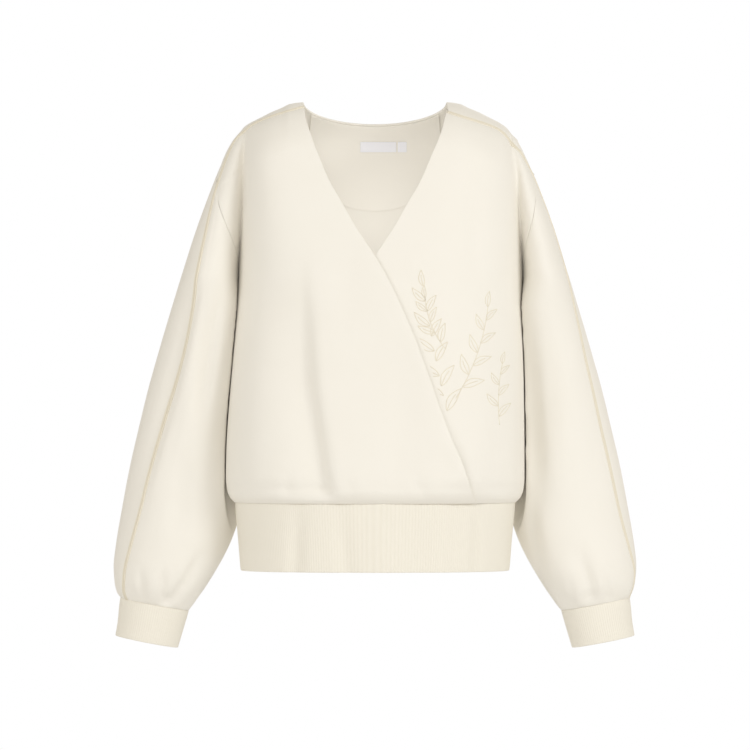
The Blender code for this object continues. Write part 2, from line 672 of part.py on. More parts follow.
def arm_cap(side, back, valley, piping, first_row):
    """Points and normals of the arm cap, from the valley to the piping and the armhole's seam.

    One row for each point of the valley, and before them first_row, seen from the front.
    """
    rows, cap_rows = len(valley) - 1, len(piping) - 1
    seam = armhole_angles(side, back)
    across = np.linspace(0, 1, CAP_COLUMNS + 1)

    flat, angles, levels = [], [], []
    for j in range(1, rows + 1):
        valley_angle = float(angle_on_arm(side, *valley[j])) * (-1 if back else 1)
        if j <= cap_rows:
            edge_angle = float(angle_on_arm(side, *piping[j]))
            edge_height = piping[j, 1] - armhole_level(edge_angle)
        else:
            edge_angle = seam[j - cap_rows]
            edge_height = 0
        valley_height = valley[j, 1] - armhole_level(valley_angle)
        angle = valley_angle + (edge_angle - valley_angle) * across
        along_seam = armhole_level(angle) + valley_height + (edge_height - valley_height) * across
        straight = along_seam[0] + (along_seam[-1] - along_seam[0]) * across
        share = smooth_step(j / cap_rows)
        level = straight * (1 - share) + along_seam * share
        row = arm_line(side, angle, level)
        flat.append(row + (valley[j] - row[0]) * (1 - across[:, None]) ** 2)
        angles.append(angle)
        levels.append(level)
    flat, angles, levels = np.array(flat), np.array(angles), np.array(levels)
    x, z, hidden = flat[..., 0], flat[..., 1], (angles < 0)[..., None]
    points = np.where(hidden, body_points(x, z, True), body_points(x, z, False))
    normals = np.where(hidden, cap_normals(side, x, z, True), cap_normals(side, x, z, False))
    edge = angles[cap_rows - 1:, -1]
    normals[cap_rows - 1:, -1] = sleeve_normals(side, edge, armhole_level(edge))
    first, first_normals = body_points(*first_row.T)[None], body_normals(*first_row.T)[None]
    points, normals = np.concatenate([first, points]), np.concatenate([first_normals, normals])
    armhole, on_piping = np.s_[cap_rows:, -1], np.s_[:cap_rows + 1, -1]
    seam_line = inset(points[armhole], normals[armhole], points[cap_rows:, -2], ARMHOLE_HALF)
    corner = seam_line[0] - points[cap_rows, -1]
    before = shoulder_line(side, FRONT_COLUMNS)[1]
    line = np.concatenate([body_points(*before)[None], points[on_piping]])
    line_normals = np.concatenate([body_normals(*before)[None], normals[on_piping]])
    inside = np.concatenate([points[1:2, 0], points[:cap_rows + 1, -2]])
    points[on_piping] = inset(line, line_normals, inside, PIPING_GAP)[1:]
    corner += points[cap_rows, -1]
    points[armhole] = seam_line
    points[cap_rows, -1] = corner
    return points, normals


def front_panel(side, material):
    """A front, from its shoulder, armhole and side to the wrap's edge and the waist."""
    edge = WRAP_EDGE if side == RIGHT else LEFT_NECK + [(-x, z) for x, z in WRAP_EDGE[3:]]
    rows = ARM_CAP_ROWS + FRONT_ARMHOLE
    top = shoulder_line(side, FRONT_COLUMNS)
    valley = valley_line(side, False, tuple(top[0]), rows)
    outer = np.concatenate([valley[:-1], side_seam(side, SIDE_ROWS)])
    inner = evenly(fine_line(edge), len(outer) - 1, END_EASE)
    waist = np.linspace(outer[-1], inner[-1], 50)
    flat = spaced(patch(top, waist, outer, inner), top, False)
    x, z = flat[..., 0], flat[..., 1]
    normals = body_normals(x, z)
    normals[1:rows + 1, 0] = valley_normals(valley, False)[1:]
    points = body_points(x, z)
    points[..., 1] -= wrap_offset(x, z, side == LEFT)
    last = rows - len(PIT_ANGLES)
    inset_edge(points, normals, "start", np.where(np.arange(len(outer)) > last, SEAM_HALF, 0))
    inset_edge(points, normals, "top", PIPING_GAP)
    points[last + 1:rows + 1, 0] -= PIT_SUNK * normals[last + 1:rows + 1, 0]
    tip = np.repeat(top[:1], CAP_COLUMNS + 1, axis=0)
    cap, cap_normals = arm_cap(side, False, valley[:last + 1], piping_on_arm_cap(side, ARM_CAP_ROWS), tip)
    points[0, 0], points[last, 0] = cap[0, -1], cap[-1, -1]
    cap[:, 0], cap_normals[:, 0] = points[:last + 1, 0], normals[:last + 1, 0]
    for row in (0, -1):
        cap[row], cap_normals[row] = cap[row, 0], cap_normals[row, 0]
    name = "front_" + side_word(side)
    return wall(name, [(points, normals), (cap[:, ::-1], cap_normals[:, ::-1])], CLOTH, material)


def ridge_normals(line):
    """Outward normals, in the plane seen from the front, of a line along the ridge."""
    way = np.gradient(line, axis=0)
    normal = np.stack([way[:, 1], np.zeros(len(line)), -way[:, 0]], axis=-1)
    normal = np.where((normal[:, 2] < 0)[:, None], -normal, normal)
    return normal / np.linalg.norm(normal, axis=-1, keepdims=True)


def over_shoulder(ridge, piping):
    """Rows from the ridge to the piping, seen from the front, at equal lengths on the cloth."""
    fine = np.linspace(0, 1, 80)[:, None] ** 2.5
    rows = []
    for start, end in zip(ridge, piping):
        row = start + (end - start) * fine
        length = cloth_length(body_points(row[:, 0], row[:, 1]))
        wanted = np.linspace(0, length[-1], CAP_COLUMNS + 1)
        rows.append(np.stack([np.interp(wanted, length, row[:, i]) for i in range(2)], axis=-1))
    return np.array(rows)


def back_panel(material):
    """The back, with the arm caps, and the strips that roll over the shoulders to the piping."""
    rows = ARM_CAP_ROWS + BACK_ARMHOLE
    ridges = {side: shoulder_ridge(side, SHOULDER_COLUMNS) for side in (RIGHT, LEFT)}
    valleys = {side: valley_line(side, True, tuple(ridges[side][0]), rows) for side in (RIGHT, LEFT)}
    edges = {side: np.concatenate([valleys[side][:-1], side_seam(side, SIDE_ROWS)]) for side in (RIGHT, LEFT)}
    top = np.concatenate([ridges[RIGHT], back_neck(NECK_COLUMNS)[1:-1], ridges[LEFT][::-1]])
    waist = np.linspace(edges[RIGHT][-1], edges[LEFT][-1], 50)
    flat = spaced(patch(top, waist, edges[RIGHT], edges[LEFT]), top, True)
    x, z = flat[..., 0], flat[..., 1]
    points, normals = body_points(x, z, True), body_normals(x, z, True)
    last = rows - len(PIT_ANGLES)
    below = np.where(np.arange(len(flat)) > last, SEAM_HALF, 0)
    inset_edge(points, normals, "start", below)
    inset_edge(points, normals, "end", below)
    grids = [(points, normals)]
    for side, column in ((RIGHT, 0), (LEFT, -1)):
        run = slice(0, SHOULDER_COLUMNS + 1) if side == RIGHT else slice(None, -SHOULDER_COLUMNS - 2, -1)
        normals[0, run] = ridge_normals(ridges[side])
        normals[1:rows + 1, column] = valley_normals(valleys[side], True)[1:]
        in_pit = np.s_[last + 1:rows + 1, column]
        points[in_pit] -= PIT_SUNK * normals[in_pit]
        shoulder = over_shoulder(shoulder_ridge(side, FRONT_COLUMNS), shoulder_line(side, FRONT_COLUMNS))
        strip = body_points(shoulder[..., 0], shoulder[..., 1])
        strip_normals = body_normals(shoulder[..., 0], shoulder[..., 1])
        inset_edge(strip, strip_normals, "end", PIPING_GAP)
        halved = np.arange(FRONT_COLUMNS + 1) // 2
        strip[:, 0], strip_normals[:, 0] = points[0, run][halved], normals[0, run][halved]
        piping = piping_on_arm_cap(side, ARM_CAP_ROWS)
        cap, cap_normals = arm_cap(side, True, valleys[side][:last + 1], piping, shoulder[0])
        points[last, column] = cap[-1, -1]
        cap[:, 0], cap_normals[:, 0] = points[:last + 1, column], normals[:last + 1, column]
        strip[0, -1] = cap[0, -1]
        cap[0], cap_normals[0] = strip[0], strip_normals[0]
        cap[-1], cap_normals[-1] = cap[-1, 0], cap_normals[-1, 0]
        cap_normals[:TIP_ROWS, :-1] = strip_normals[0, :-1] = np.nan
        normals[:TIP_ROWS, column] = normals[0, run][0] = np.nan
        turn = slice(None, None, -1 if side == RIGHT else 1)
        grids += [(cap[:, turn], cap_normals[:, turn]), (strip[:, ::-1][:, turn], strip_normals[:, ::-1][:, turn])]
    return wall("back", grids, CLOTH, material)


def laid_inside(carrier, x, z, gap):
    """Points just inside a piece of the back, at (x, z) seen from the front, and its normals."""
    mesh = carrier.data
    tree = BVHTree.FromPolygons([v.co / MM for v in mesh.vertices], [face.vertices for face in mesh.polygons])
    normals = body_normals(x, z, True)
    points = body_points(x, z, True)
    for place in np.ndindex(x.shape):
        inside = Vector(points[place] - normals[place] * REACH_INSIDE)
        hit = tree.ray_cast(inside, Vector(normals[place]))[0]
        points[place] = np.array(hit) - normals[place] * gap
    return points, normals


def back_facing(back, material):
    """The half-moon facing inside the back neck."""
    turn = np.linspace(FACING_START, math.pi - FACING_START, FACING_COLUMNS + 1)
    top_z = -BACK_NECK_DROP * np.sin(turn) ** NECK_ROUND - FACING_BELOW_NECK
    top = np.stack([-NECK_HALF * np.cos(turn), top_z], axis=-1)
    low_z = -FACING_SIDE - (FACING_DEPTH - FACING_SIDE) * np.sin(turn) ** 0.75
    low = np.stack([-FACING_HALF * np.cos(turn), low_z], axis=-1)
    across = np.linspace(0, 1, FACING_ROWS + 1)[:, None, None]
    flat = top * (1 - across) + low * across
    return wall("back_facing", [laid_inside(back, flat[..., 0], flat[..., 1], FACING_GAP)], FACING, material)


def neck_label(name, facing, x_from, size, material):
    """A blank woven label on the facing."""
    width, height, thickness = size
    x, z = np.meshgrid(np.linspace(x_from, x_from + width, 5), np.linspace(LABEL_Z, LABEL_Z - height, 3))
    return wall(name, [laid_inside(facing, x, z, SEAM)], thickness, material)


def sleeve_grid(side, back):
    """Angles and levels of a sleeve half, from the armhole to the cuff."""
    end = -180 if back else 180
    start = armhole_start(side)
    across = (armhole_angles(side, back) - start) / (end - start)
    seam = armhole_level(start + (end - start) * across)
    even = np.linspace(0, 1, SLEEVE_ROWS + 1)
    down = even + 0.016 * np.sin(2 * math.pi * even) + 0.12 * np.sin(math.pi * even) ** 2 * even
    levels = seam + (OUTLINE.knots[0] - seam) * down[:, None]
    piping = by_side(PIPING_ARM, "", side, levels[:, 0])[:, None]
    return piping + (end - piping) * across, levels


def joined_to_armhole(side, angles, levels, back):
    """Sleeve points that start on the body's armhole and settle into the sleeve's own rings."""
    points = sleeve_points(side, angles, levels)
    seam = arm_line(side, angles[0], levels[0])
    middle = body_points(seam[:, 0], seam[:, 1], False)
    hidden = body_points(seam[:, 0], seam[:, 1], True)
    on_body = np.where((angles[0] < 0)[:, None], hidden, middle)
    fade = np.exp((levels - levels[0]) / SLEEVE_SETTLE)[..., None]
    return points + (on_body - points[0]) * fade


def sleeve_half(side, back, material):
    angles, levels = sleeve_grid(side, back)
    points = joined_to_armhole(side, angles, levels, back)
    normals = sleeve_normals(side, angles, levels)
    points[0, -len(PIT_ANGLES):] -= PIT_SUNK * normals[0, -len(PIT_ANGLES):]
    inset_edge(points, normals, "start", PIPING_GAP)
    inset_edge(points, normals, "end", SEAM_HALF)
    inset_edge(points, normals, "top", ARMHOLE_HALF)
    name = "sleeve_" + side_word(side) + ("_back" if back else "_front")
    return wall(name, [(points, normals)], CLOTH, material)


def piping(side, material):
    """The cord let into the seam over the shoulder and down the sleeve."""
    on_shoulder = shoulder_line(side, FRONT_COLUMNS)[::-1]
    flat = np.concatenate([on_shoulder, piping_on_arm_cap(side, ARM_CAP_ROWS)[1:-1]])
    path, normals = body_points(flat[:, 0], flat[:, 1]), cap_normals(side, flat[:, 0], flat[:, 1], False)
    angles, levels = sleeve_grid(side, False)
    sleeve = joined_to_armhole(side, angles, levels, False)[:, 0]
    path = np.concatenate([path, sleeve])
    normals = np.concatenate([normals, sleeve_normals(side, angles, levels)[:, 0]])
    shortened = path[-1] - path[-2]
    path[-1] -= shortened / np.linalg.norm(shortened) * PIPING_RADIUS
    path = path - normals * PIPING_SUNK
    way = np.gradient(path, axis=0)
    way /= np.linalg.norm(way, axis=-1, keepdims=True)
    aside = np.cross(way, normals)
    aside /= np.linalg.norm(aside, axis=-1, keepdims=True)
    up = np.cross(aside, way)
    turn = np.linspace(0, 2 * math.pi, PIPING_SIDES, endpoint=False)[:, None]
    rings = path[:, None] + PIPING_RADIUS * (np.cos(turn) * aside[:, None] + np.sin(turn) * up[:, None])
    sides, count = PIPING_SIDES, len(path)
    faces = [
        (j * sides + i, (j + 1) * sides + i, (j + 1) * sides + (i + 1) % sides, j * sides + (i + 1) % sides)
        for j in range(count - 1) for i in range(sides)
    ]
    faces += [tuple(range(sides)), tuple((count - 1) * sides + i for i in range(sides))[::-1]]
    points = rings.reshape(-1, 3)
    first = faces[0]
    facing = np.cross(points[first[2]] - points[first[0]], points[first[3]] - points[first[1]])
    if facing @ (points[first[0]] - path[0]) < 0:
        faces = [face[::-1] for face in faces]
    return solid("piping_" + side_word(side), points, faces, material)


def ring_wall(name, rings, thickness, material):
    """A closed tube of cloth from rings of outside points, with its ends cut square."""
    round_it = np.roll(rings, -1, axis=1) - np.roll(rings, 1, axis=1)
    normals = np.cross(round_it, np.gradient(rings, axis=0))
    outward = rings - rings.mean(axis=1, keepdims=True)
    if (normals * outward).sum() < 0:
        normals = -normals
    for end in (0, -1):
        plane = np.cross(outward[end], round_it[end]).sum(axis=0)
        plane /= np.linalg.norm(plane)
        normals[end] -= (normals[end] @ plane)[:, None] * plane
    normals /= np.linalg.norm(normals, axis=-1, keepdims=True)
    return wall(name, [(rings, normals)], thickness, material, closed=True)


def waistband(material):
    turn = np.linspace(0, 2 * math.pi, BAND_COLUMNS, endpoint=False)
    square = 2 / BAND_SQUARE
    rings = []
    for z in BAND.knots[::-1]:
        half, front, back = (float(BAND.at(name, z)) for name in ("half", "front", "back"))
        across = np.sign(np.cos(turn)) * np.abs(np.cos(turn)) ** square
        depth = np.where(np.sin(turn) > 0, -front, back) * np.sqrt(np.clip(1 - np.abs(across) ** BAND_SQUARE, 0, 1))
        rings.append(np.stack([across * half, MIDDLE.at("mid", z) + depth, np.full(len(turn), z)], axis=-1))
    return ring_wall("waistband", np.array(rings), RIB, material)


def cuff(side, material):
    turn = np.linspace(0, 2 * math.pi, CUFF_COLUMNS, endpoint=False)
    mid = float(ARM.at("mid", ARM.knots[0]))
    rings = []
    for t in CUFF.knots:
        outer_x, outer_z, inner_x, inner_z, depth = (
            float(CUFF.at(name, t)) for name in ("outer_x", "outer_z", "inner_x", "inner_z", "depth"))
        share = (1 - np.cos(turn)) / 2
        x = side * (outer_x + (inner_x - outer_x) * share)
        z = outer_z + (inner_z - outer_z) * share
        rings.append(np.stack([x, mid - depth * np.sin(turn), z], axis=-1))
    return ring_wall("cuff_" + side_word(side), np.array(rings), RIB, material)


def main():
    for obj in list(bpy.data.objects):
        bpy.data.objects.remove(obj, do_unlink=True)
    materials = finishes()
    for side in (RIGHT, LEFT):
        front_panel(side, materials["cloth"])
        for back in (False, True):
            sleeve_half(side, back, materials["cloth"])
        piping(side, materials["piping"])
        cuff(side, materials["rib"])
    back = back_panel(materials["cloth"])
    facing = back_facing(back, materials["facing"])
    neck_label("label", facing, LABEL_X, LABEL, materials["label"])
    neck_label("size_tab", facing, TAB_X, SIZE_TAB, materials["label"])
    waistband(materials["rib"])


main()
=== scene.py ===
import math
import bpy
import bmesh
import numpy as np
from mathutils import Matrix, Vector
from mathutils.bvhtree import BVHTree


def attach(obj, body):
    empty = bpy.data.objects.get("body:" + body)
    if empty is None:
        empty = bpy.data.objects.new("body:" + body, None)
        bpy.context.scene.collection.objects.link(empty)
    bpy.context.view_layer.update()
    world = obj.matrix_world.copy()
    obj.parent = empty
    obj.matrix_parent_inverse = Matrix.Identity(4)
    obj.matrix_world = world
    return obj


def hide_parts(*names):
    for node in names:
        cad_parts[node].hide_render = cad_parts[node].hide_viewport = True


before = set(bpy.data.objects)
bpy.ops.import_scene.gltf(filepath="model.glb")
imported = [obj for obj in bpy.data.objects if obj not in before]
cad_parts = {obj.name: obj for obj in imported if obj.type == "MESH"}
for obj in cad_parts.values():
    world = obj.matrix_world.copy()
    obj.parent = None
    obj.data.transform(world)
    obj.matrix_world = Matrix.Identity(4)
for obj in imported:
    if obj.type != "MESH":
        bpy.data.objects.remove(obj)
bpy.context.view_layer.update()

# sizes in millimetres, as in the solids
mm = 0.001
right, left = -1, 1  # the wearer's sides, as signs of x
words = {right: "right", left: "left"}
bodyLength = 570.0  # side neck point to hem
bandHeight = 83.0
waistZ = bandHeight - bodyLength
neckHalf = 87.0
backNeckDrop = 24.0
neckRound = 1.15  # 1 is a plain half oval
vDepth = 189.0
armpitZ = -212.0
blouseZ = -456.0  # below here the body curls in to the band
valleyDrop = 6.0  # from the shoulder's tip down to the valley beside the arm cap
seamHalf = 0.15  # from a seam's line to the cloth on each side
armholeHalf = 0.2
pipingGap = 2.45  # the same for the corded strip
sleeveClearance = 1.2  # how far a sleeve keeps off the body
sleeveTuck = 14.0  # how far a sleeve may lean in below the blouse
clearHeight = 14.0  # height below the armpit over which it comes to keep off the body
sleeveSettle = 18.0  # height over which a sleeve finds its own form
tipZ = -33.0  # the shoulder's tip, on its ridge
capShare = 0.6  # the most of an arm cap's row that its edge may give up to the strip
slimRow = 2.0  # an arm cap's row narrower than this closes to a point
rollFront = 60.0  # height over which the shoulder rolls into the front
rollBack = 56.0
bandSquare = 2.7
waistPucker, waistPuckerReach, waistTurn = 1.6, 14.0, 1.6  # depth, height, radians from middle to side
cuffPucker, cuffPuckerReach = 2.2, 16.0
blendRight, blendLeft, blendHeight = 6.0, 14.0, 60.0  # how softly the arm cap runs into the body
blendFromZ, blendRun = -32.0, 50.0
armFromZ = -24.0  # above here there is no arm cap


class Table:
    # rows of sizes, joined by a smooth curve that never overshoots them
    def __init__(self, names, rows):
        self.knots, *columns = np.array(sorted(rows), float).T
        self.fine = np.linspace(self.knots[0], self.knots[-1], 1200)
        self.columns = {name: self.smooth(values) for name, values in zip(names.split()[1:], columns)}

    def smooth(self, values):
        step = np.diff(self.knots)
        slope = np.diff(values) / step
        tangent = np.zeros(len(values))
        sameWay = slope[1:] * slope[:-1] > 0
        tangent[1:-1][sameWay] = (2 * slope[1:] * slope[:-1] / (slope[1:] + slope[:-1] + 1e-12))[sameWay]
        tangent[0], tangent[-1] = slope[0], slope[-1]
        i = np.clip(np.searchsorted(self.knots, self.fine) - 1, 0, len(step) - 1)
        t = (self.fine - self.knots[i]) / step[i]
        return (
            (2 * t**3 - 3 * t**2 + 1) * values[i]
            + (t**3 - 2 * t**2 + t) * step[i] * tangent[i]
            + (3 * t**2 - 2 * t**3) * values[i + 1]
            + (t**3 - t**2) * step[i] * tangent[i + 1]
        )

    def at(self, name, key):
        return np.interp(key, self.fine, self.columns[name])


# the shoulder and the sleeve's outer side, from the neck point to the cuff, seen from the front
outlineRows = [
    (0, 87), (-2, 103), (-7, 114), (-12, 126), (-17, 136), (-22, 146), (-26.5, 155), (-31, 161),
    (-41, 169), (-58, 179), (-82, 190), (-107, 200), (-156, 218), (-212, 236), (-253, 249),
    (-302, 264), (-351, 278), (-400, 290), (-448, 301), (-497, 310), (-540, 317), (-566, 319.5),
    (-584, 318), (-596, 315), (-604, 311),
]
outline = Table("z outer", outlineRows)
ridge = Table("x z", [(0, 0)] + [(x, z) for z, x in outlineRows[:15]])
# the body's level sections: half widths, depths, and how sharply the sides turn
torso = Table("z rightHalf leftHalf front back rightSquare leftSquare", [
    (0, 163, 178, 61, 62, 7.5, 4.6),
    (-50, 163, 178, 76, 76, 7.5, 4.6),
    (-100, 163, 178, 90, 86, 7.0, 4.4),
    (-150, 164, 179, 101, 91, 6.0, 4.0),
    (-212, 166, 180, 108, 92, 4.2, 3.4),
    (-250, 169, 180.5, 111, 90, 3.4, 3.0),
    (-302, 173, 181, 112, 88, 3.5, 3.4),
    (-363, 177.5, 181.5, 111, 87, 3.5, 3.5),
    (-424, 181, 182, 112, 90, 3.4, 3.4),
    (-456, 181.5, 182, 113, 92, 3.2, 3.2),
    (-472, 180, 180.5, 111, 90, 2.7, 2.7),
    (-481, 176.5, 177, 105, 86, 2.7, 2.7),
    (-487, 171, 171, 97, 80, 2.7, 2.7),
])
# the arm: inner side and half depth; drop is how far a ring's inner side hangs below its outer side
arm = Table("q rightInner leftInner depth drop mid", [
    (-26, 140, 155, 3, 0, 0),
    (-40, 146, 158, 21, 0, 1),
    (-60, 150, 161, 31, 0, 2),
    (-107, 155, 168, 43, 0, 3),
    (-150, 158.5, 173, 51, 0, 4),
    (-212, 166, 180, 62, 0, 6),
    (-230, 163, 175, 64, 0, 11),
    (-250, 160, 168, 65, 0, 17),
    (-300, 158, 165, 67, 0.5, 30),
    (-350, 160, 165, 68, 1, 38),
    (-400, 165, 167, 68, 2, 42),
    (-450, 163, 163, 67, 4, 43),
    (-480, 163, 163, 66, 6, 42),
    (-500, 167, 167, 65, 8, 40),
    (-520, 174, 174, 64, 10, 38),
    (-540, 184, 184, 62, 12, 36),
    (-560, 196, 196, 60, 13.5, 34),
    (-580, 209, 209, 55, 14.5, 33),
    (-592, 218, 218, 47, 15, 32),
    (-600, 224, 224, 40, 15.3, 32),
    (-604, 227.5, 227.5, 36, 15.5, 32),
])
# the armhole's seam, as the height at each angle round the arm; from pitStart on it runs in the
# valley between arm and body, with its last points at pitAngles
armhole = Table("angle level", [
    (0, -85), (15, -88), (30, -95), (60, -116), (90, -138.5), (120, -162), (140, -176), (155, -185),
    (166, -190), (168.5, -195), (171, -200), (175, -208), (180, -212),
])
pitAngles = (171, 175.5, 180)
pitStart = 166.0
middle = Table("z mid", [(0, 0), (-212, 6), (-330, 5), (-487, 0), (-575, 0)])
# the corded strip: on the shoulder as points seen from the front, on the sleeve as an angle from
# the outer side towards the front
pipingShoulder = {
    right: [(87, -7), (104, -11.8), (122, -17.2), (138, -23), (151, -29.5), (161, -38)],
    left: [(88, -13.5), (104, -19), (121, -24), (140, -30), (151, -35), (159, -42), (167, -53)],
}
pipingArm = Table("q right left", [
    (-36, 40, 90), (-48, 40, 75), (-63, 40, 55), (-75, 42, 40), (-85, 44, 28), (-112, 47, 15), (-131, 52, 13),
    (-170, 60, 18), (-212, 65, 25), (-271, 66, 34), (-326, 63, 39), (-381, 57, 39), (-442, 51, 37),
    (-509, 47, 33), (-546, 44, 27), (-582, 40, 14), (-604, 37, 9),
])
# the right front's neckline and wrap edge, down to the waist; the left front's is its mirror image,
# with leftNeck in place of the first three points
wrapEdge = [
    (-87, -7), (-85, -17), (-78, -40), (-67, -70), (-55, -98), (-39, -126), (-22, -156), (0, -vDepth),
    (18, -221), (35, -257), (49, -290), (60, -320), (70, -348), (81, -380), (92, -408), (105, -438),
    (115, -468), (121, -487),
]
leftNeck = [(87, -13.5), (85, -21), (79, -41)]
wrapLine = Table("z x", [(z, x) for x, z in wrapEdge])
wrapStep = 3.2  # how far the upper front stands off the lower one at the wrap's edge
wrapEase = 38.0  # width over which it settles back from its edge
wrapStart = 70.0  # height above the V's point over which the step begins
wrapSunk, wrapSunkWidth, wrapSunkHeight = 5.0, 40.0, 22.0  # how far the lower front lies back
wrapLift, wrapLiftWidth, wrapLiftZ, wrapLiftHeight = 3.0, 16.0, -435.0, 34.0  # the edge's soft curl
# the waistband and the cuffs, ring by ring
band = Table("z half front back", [
    (-487.3, 170.5, 96, 79), (-496, 170, 94.5, 78), (-512, 168.5, 92.5, 77), (-540, 166, 90, 76),
    (-565, 164, 88.5, 75), (-570, 163.3, 88, 74.5),
])
cuff = Table("t outerX outerZ innerX innerZ depth", [
    (0, 311.5, -604.8, 227.8, -620.3, 35.5), (0.15, 312.5, -611, 229.5, -626.5, 35),
    (0.6, 314.5, -632, 235.5, -647, 34), (1, 317.5, -650.5, 241, -665.5, 33),
])
# soft folds: x and z of the top, middle and low end, depth, width towards -x and +x, and the share
# of the length over which it fades out at its low end
frontFolds = [
    (-92, -160, -82, -340, -57, -500, 12.5, 38, 10, 0.06),
    (-118, -150, -124, -300, -126, -470, 2.5, 22, 26, 0.06),
    (128, -60, 120, -170, 118, -260, 2.5, 14, 16, 0.5),
    (108, -400, 118, -450, 124, -500, -4, 10, 12, 0.06),
    (30, -250, 34, -380, 20, -480, 2.5, 24, 26, 0.06),
    (-104, -440, -106, -470, -105, -492, 2.6, 5, 7, 0.06),
    (-36, -440, -30, -466, -26, -494, 2.2, 8, 6, 0.06),
    (44, -440, 52, -466, 62, -490, 2.4, 6, 8, 0.06),
    (-20, -120, -34, -220, -40, -330, 1.4, 20, 16, 0.6),
    (146, -300, 150, -400, 152, -490, 2.2, 12, 9, 0.06),
]
backFolds = [
    (-95, -160, -88, -320, -70, -500, 8, 20, 26, 0.06),
    (92, -180, 84, -330, 74, -500, 7, 24, 18, 0.06),
    (-10, -230, 4, -360, 8, -500, 4, 26, 26, 0.06),
    (-140, -120, -138, -260, -130, -420, 3, 16, 20, 0.5),
    (142, -120, 139, -260, 134, -420, 3, 20, 16, 0.5),
    (-40, -430, -44, -462, -46, -492, 2.4, 7, 8, 0.06),
    (36, -440, 40, -466, 44, -492, 2.2, 8, 6, 0.06),
]
rightSleeveFolds = [
    (-180, -205, -196, -280, -212, -390, 7, 13, 7, 0.4),
    (-199, -160, -238, -305, -290, -500, 6.5, 14, 8, 0.4),
    (-214, -190, -236, -320, -262, -480, 2.6, 10, 14, 0.4),
    (-228, -370, -236, -450, -240, -545, 3, 14, 14, 0.4),
    (-205, -535, -228, -580, -250, -608, 6, 6, 9, 0.06),
    (-258, -560, -257, -585, -256, -608, 4, 5, 5, 0.06),
    (-286, -560, -284, -585, -282, -608, 3, 5, 6, 0.06),
]
leftSleeveFolds = [
    (190, -470, 192, -525, 205, -590, 6, 8, 9, 0.3),
    (246, -530, 254, -565, 266, -604, 6, 12, 9, 0.06),
    (204, -215, 214, -330, 218, -440, 3, 12, 16, 0.4),
    (184, -225, 188, -340, 196, -500, 9, 12, 15, 0.4),
    (250, -300, 262, -400, 270, -500, 2, 18, 18, 0.4),
    (284, -565, 284, -585, 284, -608, 3.4, 6, 5, 0.06),
    (236, -575, 238, -590, 240, -610, 2.4, 5, 6, 0.06),
]
sleeveBackFolds = [
    (205, -215, 214, -330, 222, -450, 4, 12, 16, 0.4),
    (228, -240, 250, -360, 268, -500, 3.5, 14, 14, 0.4),
    (226, -520, 240, -560, 252, -606, 5, 10, 12, 0.06),
    (280, -560, 279, -585, 278, -608, 3.6, 6, 6, 0.06),
]
cuffGathers = 9
waistGathers = 13

# how finely each piece is divided
armCapRows = 14
frontArmhole = 44
backArmhole = 50
sideRows = 60
frontColumns = 60
capColumns = 16
neckColumns = 56
sleeveRows = 110
endEase = 0.45
sideEase = 1.35
sleeveEase, sleeveSpread = 0.10 / (2 * math.pi), 0.12
fineSteps = 400  # samples of a line before it is divided evenly


def stacked(*parts):
    return np.stack(np.broadcast_arrays(*parts), axis=-1)


def unit(vectors):
    return vectors / (np.linalg.norm(vectors, axis=-1, keepdims=True) + 1e-12)


def smoothStep(t):
    t = np.clip(t, 0, 1)
    return t * t * (3 - 2 * t)


def sideOf(x):
    return np.where(x < 0, right, left)


def bySide(table, column, side, key):
    return np.where(side < 0, table.at("right" + column, key), table.at("left" + column, key))


def foldHeight(folds, x, z):
    sunk = np.zeros(np.broadcast(x, z).shape)
    for xTop, zTop, xMid, zMid, xLow, zLow, depth, lowSide, highSide, tail in folds:
        centre = np.interp(z, (zLow, zMid, zTop), (xLow, xMid, xTop))
        along = (zTop - z) / (zTop - zLow)
        strength = smoothStep(along / 0.55) * smoothStep((1.06 - along) / tail)
        off = x - centre
        width = np.where(off < 0, lowSide, highSide)
        sunk = sunk + depth * strength * np.exp(-((off / width) ** 2))
    return sunk


def gathers(angle, count):
    return np.cos(count * angle + 0.9 * np.sin(2 * angle + 0.6) + 0.5 * np.sin(3 * angle))


def quarterRound(t):
    t = np.clip(t, 0, 1)
    return np.sqrt(1 - (1 - t) ** 2)


def torsoDepth(x, z, back):
    side = sideOf(x)
    half = bySide(torso, "Half", side, z)
    square = bySide(torso, "Square", side, z)
    edge = np.sqrt(np.clip(1 - np.clip(np.abs(x) / half, 0, 1) ** square, 0, 1))
    belowRidge = ridge.at("z", np.abs(x)) - z
    roll = quarterRound(belowRidge / (rollBack if back else rollFront))
    depth = torso.at("back" if back else "front", z) * edge * roll
    keep = smoothStep(edge / 0.75) * smoothStep((z - waistZ) / 20)
    puckers = gathers(x / half * waistTurn, waistGathers)
    puckers = puckers * waistPucker * np.exp((waistZ - z) / waistPuckerReach)
    return depth - keep * (foldHeight(backFolds if back else frontFolds, x, z) + puckers)


def armSize(side, q):
    outer = outline.at("outer", q)
    inner = bySide(arm, "Inner", side, q)
    return (outer + inner) / 2, (outer - inner) / 2, arm.at("depth", q), arm.at("drop", q), arm.at("mid", q)


def armCapDepth(x, z):
    centre, half, depth, _, _ = armSize(sideOf(x), z)
    inside = 1 - ((np.abs(x) - centre) / half) ** 2
    return np.where(z < arm.knots[-1], depth * np.sqrt(np.clip(inside, 0, 1)), 0)


def bodyDepth(x, z, back):
    body, cap = torsoDepth(x, z, back), armCapDepth(x, z)
    blend = np.where(sideOf(x) < 0, blendRight, blendLeft) * np.clip((z - armpitZ) / blendHeight, 0, 1)
    blend = blend * smoothStep((blendFromZ - z) / blendRun) + 1e-6
    nearness = np.clip(1 - np.abs(body - cap) / blend, 0, 1)
    joined = np.maximum(body, cap) + blend * nearness**2 / 4
    return np.where((z > armpitZ) & (z < armFromZ), joined, body)


